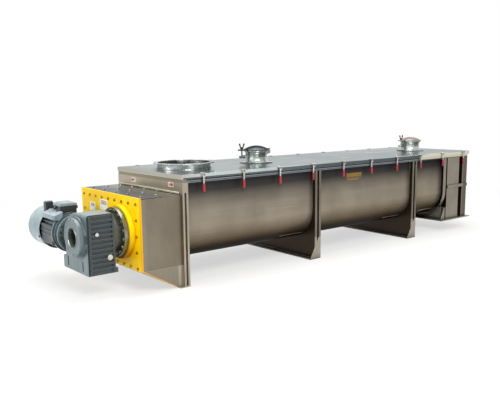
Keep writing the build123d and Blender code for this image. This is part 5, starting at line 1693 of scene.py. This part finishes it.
@dataclass
class DriveEnd:
    """Blank films, plugs, pads and fittings of the gear case, the gear unit and the motor."""

    plate_x: float = -2280.0
    # Each white film as low y, high y, low z and high z.
    films: tuple[tuple[float, float, float, float], ...] = (
        (313.0, 436.0, 694.0, 785.0),
        (35.0, 200.0, 727.0, 836.0),
    )
    panel_side: float = 18.0
    panel_top: float = 10.0
    rail_x: float = -1832.0
    # Each arrow as y, z and the way it points along y.
    arrows: tuple[Place, ...] = ((309.0, 986.0, 1.0), (-443.0, 997.0, -1.0))
    # Half the width and half the height of an arrow's film and of its shaft.
    arrow_film: tuple[float, float] = (52.0, 26.0)
    arrow_shaft: tuple[float, float] = (26.0, 5.0)
    arrow_tip: float = 22.0
    arrow_flare: float = 2.8
    arrow_point: float = 0.12
    film: float = 0.8
    hub_x: float = -2790.0
    hub_bolt_r: float = 166.0
    hub_bolt_af: float = 11.0
    hub_bolt_h: float = 6.0
    hub_bolts: int = 20
    lip_r: float = 96.0
    step_r: float = 172.0
    drain_plug: Place = (-2522.0, -470.0, 381.0)
    drain_af: float = 28.0
    level_plug: Place = (-2642.0, -470.0, 607.0)
    level_af: float = 18.0
    eye_y: float = 470.0
    eye_rise: float = 194.0
    cable_pad: Box = ((-2768.0, 190.0, 655.0), (-2679.0, 510.0, 745.0))
    side_pad: Box = ((-2784.0, 236.0, 420.0), (-2740.0, 512.0, 606.0))
    lid_crown: Box = ((-2670.0, 263.0, 809.5), (-2518.0, 412.0, 822.0))
    small_cap: Box = ((-2706.0, 553.0, 799.5), (-2632.0, 607.0, 812.0))
    rail_hem: Box = ((-1848.0, -602.0, 916.0), (-1830.0, 602.0, 940.0))
    box_plug: Place = (-2509.0, 280.0, 768.0)
    cowl_cap: Place = (-2806.0, 545.0, 464.0)
    # The hems run from one place to the other, each as x and z.
    hem_start: tuple[float, float] = (-2268.0, 222.0)
    hem_end: tuple[float, float] = (-1895.0, 8.6)
    hem_y: float = 618.0
    hem_half: float = 6.0
    glands: tuple[Place, ...] = ((-2695.0, 300.0, 730.0), (-2695.0, 360.0, 770.0))

    def _stickers(self) -> None:
        """Place the two blank white films, each with a sand panel, on the yellow plate."""
        x = self.plate_x
        for n, (low_y, high_y, low_z, high_z) in enumerate(self.films):
            film = Blank.box(f"plate_film_{n + 1}", (x - 1.0, low_y, low_z), (x + 0.2, high_y, high_z))
            film.rounded(0.4, 1).dress(WHITE_FILM, "trough")
            inner = Blank.box(
                f"plate_panel_{n + 1}",
                (x - 1.5, low_y + self.panel_side, (low_z + high_z) / 2),
                (x - 1.0, high_y - self.panel_side, high_z - self.panel_top),
            )
            inner.rounded(0.2, 1).dress(SAND_PANEL, "trough")

    def _arrows(self) -> None:
        """Place the two turning arrows on the drive rail."""
        x, low, top = self.rail_x, self.rail_x - self.film * 2, self.rail_x - self.film
        for n, (y, z, way) in enumerate(self.arrows):
            wide, high = self.arrow_film
            film = Blank.box(f"arrow_film_{n + 1}", (top, y - wide, z - high), (x + 0.2, y + wide, z + high))
            film.rounded(0.3, 1).dress(ARROW_FILM, "trough")
            wide, high = self.arrow_shaft
            shaft = Blank.box(f"turn_arrow_{n + 1}", (low, y - wide, z - high), (top, y + wide, z + high))
            shaft.faces(lambda c, nrm, w=way: nrm.y * w > 0.9)
            shaft.grow((1.0, 1.0, self.arrow_flare), (x, y, z)).done()
            shaft.faces(lambda c, nrm, w=way: nrm.y * w > 0.9)
            shaft.extrude((0.0, way * self.arrow_tip, 0.0))
            shaft.grow((1.0, 1.0, self.arrow_point), (x, y, z)).done()
            shaft.dress(RED_INK, "trough")

    def _hub(self) -> Blank:
        """Model the ring of small bolts on the hub's face.

        Returns:
            The blank.
        """
        pieces = []
        seat = (self.hub_x, self.hub_bolt_r - SHAFT_Y, SHAFT_Z)
        pattern = bolt("hub_bolt", seat, Axis.X, self.hub_bolt_af, -self.hub_bolt_h, 1.0)
        for n in range(self.hub_bolts):
            angle = 360.0 / self.hub_bolts * (n + 0.5)
            pieces.append(pattern.copy(f"hub_bolt_{n}").turned(angle, Axis.X, (0.0, -SHAFT_Y, SHAFT_Z)))
        pattern.discard()
        return pieces[0].join(pieces[1:])

    def _hub_rings(self) -> Blank:
        """Model the machined steps round the hollow shaft.

        Returns:
            The blank.
        """
        lip = Blank.ring("hub_lip", (self.hub_x, -SHAFT_Y, SHAFT_Z), Axis.X, self.lip_r, 5.0, 72, 10)
        step = Blank.ring("hub_step", (self.hub_x + 2.0, -SHAFT_Y, SHAFT_Z), Axis.X, self.step_r, 4.0, 96, 8)
        return lip.join([step])

    def _plugs(self) -> Blank:
        """Model the drain plug and the level plug of the gear unit.

        Returns:
            The blank.
        """
        drain = bolt("drain_plug", self.drain_plug, Axis.Y, self.drain_af, -12.0, 4.0)
        level = bolt("level_plug", self.level_plug, Axis.Y, self.level_af, -7.0, 3.0)
        return drain.join([level])

    def _motor_pads(self) -> Blank:
        """Model the lifting eye and the cast cable pad on the motor's side.

        Returns:
            The blank.
        """
        foot = (MOTOR_X, self.eye_y, MOTOR_Z + self.eye_rise - 2.0)
        shank = Blank.rod("eye_shank", foot, Axis.Z, 13.0, 10.0, 24).rounded(2.0, 2)
        eye_at = (MOTOR_X, self.eye_y, MOTOR_Z + self.eye_rise + 20.0)
        eye = Blank.ring("lifting_eye", eye_at, Axis.Y, 15.0, 5.0, 40, 12)
        low, high = self.cable_pad
        pad = Blank.box("cable_pad", low, high)
        narrow_about = (low[0], (low[1] + high[1]) / 2, low[2] + 17.0)
        pad.faces(lambda c, n: n.x < -0.9).grow((1.0, 0.94, 0.5), narrow_about).done()
        return pad.rounded(5.0, 3).join([shank, eye])

    def _side_pad(self) -> Blank:
        """Model the smooth cast pad that covers the fins on the motor's near side.

        Returns:
            The blank.
        """
        pad = Blank.box("side_pad", *self.side_pad)
        pad.faces(lambda c, n: n.x < -0.9).inset(16.0, 0.0).extrude((4.0, 0.0, 0.0)).done()
        return pad.rounded(5.0, 3)

    def _box_tops(self) -> Blank:
        """Model the raised tops of the terminal box's lid and of the small box on the cowl.

        Returns:
            The blank.
        """
        tops = []
        named = (("lid_crown", self.lid_crown, 0.82), ("small_box_cap", self.small_cap, 0.88))
        for name, (low, high), taper in named:
            top = Blank.box(name, low, high)
            middle = ((low[0] + high[0]) / 2, (low[1] + high[1]) / 2, high[2])
            top.faces(lambda c, n: n.z > 0.9).grow((taper, 0.84, 1.0), middle).done()
            tops.append(top)
        return tops[0].rounded(2.0, 2).join([tops[1].rounded(2.0, 2)])

    def _rail_hem(self) -> Blank:
        """Model the bright folded hem along the bottom of the rail over the gear case.

        Returns:
            The blank.
        """
        return Blank.box("rail_hem", *self.rail_hem).rounded(3.0, 2)

    def _caps(self) -> Blank:
        """Model the red plug in the terminal box's end and the red cap on the cowl's edge.

        Returns:
            The blank.
        """
        plug = Blank.rod("box_plug", self.box_plug, Axis.X, 19.0, 18.0, 6)
        plug.faces(lambda c, n: n.x > 0.9).inset(4.0, -3.0).done().rounded(1.5, 2)
        cap = Blank.rod("cowl_cap", self.cowl_cap, Axis.X, 10.0, 14.0, 20)
        cap.faces(lambda c, n: n.x < -0.9).inset(2.5, -1.0).done().rounded(1.0, 2)
        return plug.join([cap])

    def _yellow_hems(self) -> Blank:
        """Model the yellow hems under the slanting edges of the gear case's side plates.

        Returns:
            The blank.
        """
        (x, z), (end_x, end_z) = self.hem_start, self.hem_end
        length = math.dist(self.hem_start, self.hem_end)
        slope = math.degrees(math.atan2(z - end_z, end_x - x))
        hems = []
        for side in (-1, 1):
            y = side * self.hem_y
            low = (x + 4.0, y - self.hem_half, z - 2.0)
            hem = Blank.box("plate_hem", low, (x + length - 4.0, y + self.hem_half, z + 5.0))
            hems.append(hem.rounded(1.5, 2).turned(slope, Axis.Y, (x, y, z)))
        return hems[0].join(hems[1:])

    def _motor_fittings(self) -> Blank:
        """Model the two cable glands of the terminal box.

        Returns:
            The blank.
        """
        pieces = []
        for n, place in enumerate(self.glands):
            nut = Blank.rod(f"gland_{n}", place, Axis.X, 17.0, 16.0, 6)
            nut.faces(lambda c, nrm: nrm.x < -0.9).inset(3.0, 0.0)
            nut.extrude((-9.0, 0.0, 0.0)).inset(3.5, -6.0).done()
            pieces.append(nut.rounded(0.8, 2))
        return pieces[0].join(pieces[1:])

    def build(self) -> None:
        """Model and dress the drive end's details."""
        self._stickers()
        self._arrows()
        self._hub().dress(COWL_PAINT, "trough", "bolt_steel")
        self._hub_rings().dress(FLANGE_STEEL, "trough", "machined_steel")
        self._plugs().dress(CLAMP_STEEL, "trough", "bolt_steel")
        self._motor_pads().dress(COWL_PAINT, "trough", "drive_paint")
        self._side_pad().dress(MOTOR_SIDE_PAINT, "trough", "drive_paint")
        self._box_tops().dress(BOX_PAINT, "trough", "drive_paint")
        self._rail_hem().dress(HEM_STEEL, "trough")
        self._caps().dress(DARK_RED_CAP, "trough")
        self._yellow_hems().dress(YELLOW_PAINT, "trough", "yellow_paint")
        self._motor_fittings().dress(GLAND_PLASTIC, "trough")
        LOG.info("built the drive end's details")


@dataclass
class Studio:
    """A pale floor, soft lamps and the camera at the photograph's place. It isn't part of the object."""

    camera_at: Place = (-5033.6, -5619.1, 1698.8)
    camera_turn: tuple[float, float, float] = (80.98121, 0.60367, -39.12798)
    lens: float = 44.7033
    floor: float = 30000.0
    white: str = "FFFFFF"
    sky: float = 0.6
    floor_tone: str = "F8F7F5"
    floor_glow: float = 0.6
    shadow: tuple[float, float] = (3200.0, 7500.0)
    # Each lamp's name, place, target, side and power in watts.
    lamps: tuple[tuple[str, Place, Place, float, float], ...] = (
        ("key_lamp", (-3500.0, -6500.0, 6500.0), (-200.0, 0.0, 600.0), 3500.0, 420.0),
        ("top_lamp", (800.0, 800.0, 7000.0), (300.0, 0.0, 900.0), 6000.0, 420.0),
        ("end_lamp", (-8500.0, 1500.0, 2800.0), (-2200.0, 0.0, 600.0), 2500.0, 160.0),
    )

    def _seen(self, tree: bpy.types.NodeTree) -> bpy.types.NodeSocket:
        """Tell whether the camera, a reflection or a view through glass looks.

        Args:
            tree: Node tree of the floor or the world.

        Returns:
            One for those rays, zero for the light that falls on the object.
        """
        ray = add_node(tree, "ShaderNodeLightPath").outputs
        first = add_node(
            tree, "ShaderNodeMath", {0: ray["Is Camera Ray"], 1: ray["Is Glossy Ray"]}, operation="MAXIMUM"
        ).outputs[0]
        return add_node(
            tree, "ShaderNodeMath", {0: first, 1: ray["Is Transmission Ray"]}, operation="MAXIMUM"
        ).outputs[0]

    def _floor(self) -> None:
        """Lay the floor: white where it is seen, fading from the object's shadow to plain white."""
        deselect_all()
        bpy.ops.mesh.primitive_plane_add(size=self.floor * MM, location=(0.0, 0.0, -0.0005))
        floor = bpy.context.active_object
        floor.name = "studio_floor"
        paint = bpy.data.materials.new("pale_studio_floor")
        paint.use_nodes = True
        tree = paint.node_tree
        tree.nodes.clear()
        place = add_node(tree, "ShaderNodeTexCoord").outputs["Object"]
        away = add_node(tree, "ShaderNodeVectorMath", {0: place}, operation="LENGTH").outputs["Value"]
        near, far = (reach * MM for reach in self.shadow)
        share = add_node(
            tree,
            "ShaderNodeMapRange",
            {"Value": away, "From Min": near, "From Max": far, "To Min": self.floor_glow, "To Max": 1.0},
        ).outputs[0]
        seen = add_node(
            tree, "ShaderNodeMath", {0: share, 1: self._seen(tree)}, operation="MULTIPLY"
        ).outputs[0]
        diffuse = add_node(tree, "ShaderNodeBsdfDiffuse", {"Color": linear(self.floor_tone)}).outputs[0]
        glow = {"Color": linear(self.white), "Strength": 1.0}
        white = add_node(tree, "ShaderNodeEmission", glow).outputs[0]
        mix = add_node(tree, "ShaderNodeMixShader", {0: seen, 1: diffuse, 2: white}).outputs[0]
        add_node(tree, "ShaderNodeOutputMaterial", {"Surface": mix})
        floor.data.materials.append(paint)

    def _world(self) -> None:
        """Light the object with an even sky that is white where it is seen."""
        world = bpy.data.worlds.new("studio_world")
        bpy.context.scene.world = world
        world.use_nodes = True
        tree = world.node_tree
        tree.nodes.clear()
        sky = add_node(tree, "ShaderNodeBackground", {"Color": linear(self.white), "Strength": self.sky})
        white = add_node(tree, "ShaderNodeBackground", {"Color": linear(self.white), "Strength": 1.0})
        shades = {0: self._seen(tree), 1: sky.outputs[0], 2: white.outputs[0]}
        mix = add_node(tree, "ShaderNodeMixShader", shades).outputs[0]
        add_node(tree, "ShaderNodeOutputWorld", {"Surface": mix})

    def _lamp(self, name: str, place: Place, target: Place, size: float, watts: float) -> None:
        """Hang one square lamp that points at a place.

        Args:
            name: Name of the lamp.
            place: Where it hangs, in millimetres.
            target: What it points at, in millimetres.
            size: Its side in millimetres.
            watts: Its power.
        """
        lamp = bpy.data.lights.new(name, "AREA")
        lamp.shape = "SQUARE"
        lamp.size = size * MM
        lamp.energy = watts
        holder = bpy.data.objects.new(name, lamp)
        holder.location = metres(place)
        holder.rotation_euler = (metres(target) - metres(place)).to_track_quat("-Z", "Y").to_euler()
        bpy.context.scene.collection.objects.link(holder)

    def _camera(self) -> None:
        """Set the camera where the photograph was taken from."""
        lens = bpy.data.cameras.new("photo_camera")
        lens.lens = self.lens
        lens.sensor_width = 36.0
        lens.clip_end = 100.0
        camera = bpy.data.objects.new("photo_camera", lens)
        camera.location = metres(self.camera_at)
        camera.rotation_euler = tuple(math.radians(a) for a in self.camera_turn)
        bpy.context.scene.collection.objects.link(camera)
        bpy.context.scene.camera = camera

    def build(self) -> None:
        """Set up floor, world, lamps, camera and view."""
        self._floor()
        self._world()
        for lamp in self.lamps:
            self._lamp(*lamp)
        self._camera()
        bpy.context.scene.view_settings.view_transform = "Standard"
        LOG.info("set up the studio")


def main() -> None:
    """Build every sub-assembly in order."""
    logging.basicConfig(level=logging.INFO, format="%(name)s: %(message)s")
    DressedNodes().dress()
    LidClamps().build()
    Manway("front_manway", -375.0).build()
    Manway("rear_manway", 2560.0).build()
    FeedInlet().build()
    TroughDetails().build()
    DriveEnd().build()
    Studio().build()


if __name__ == "__main__":
    main()
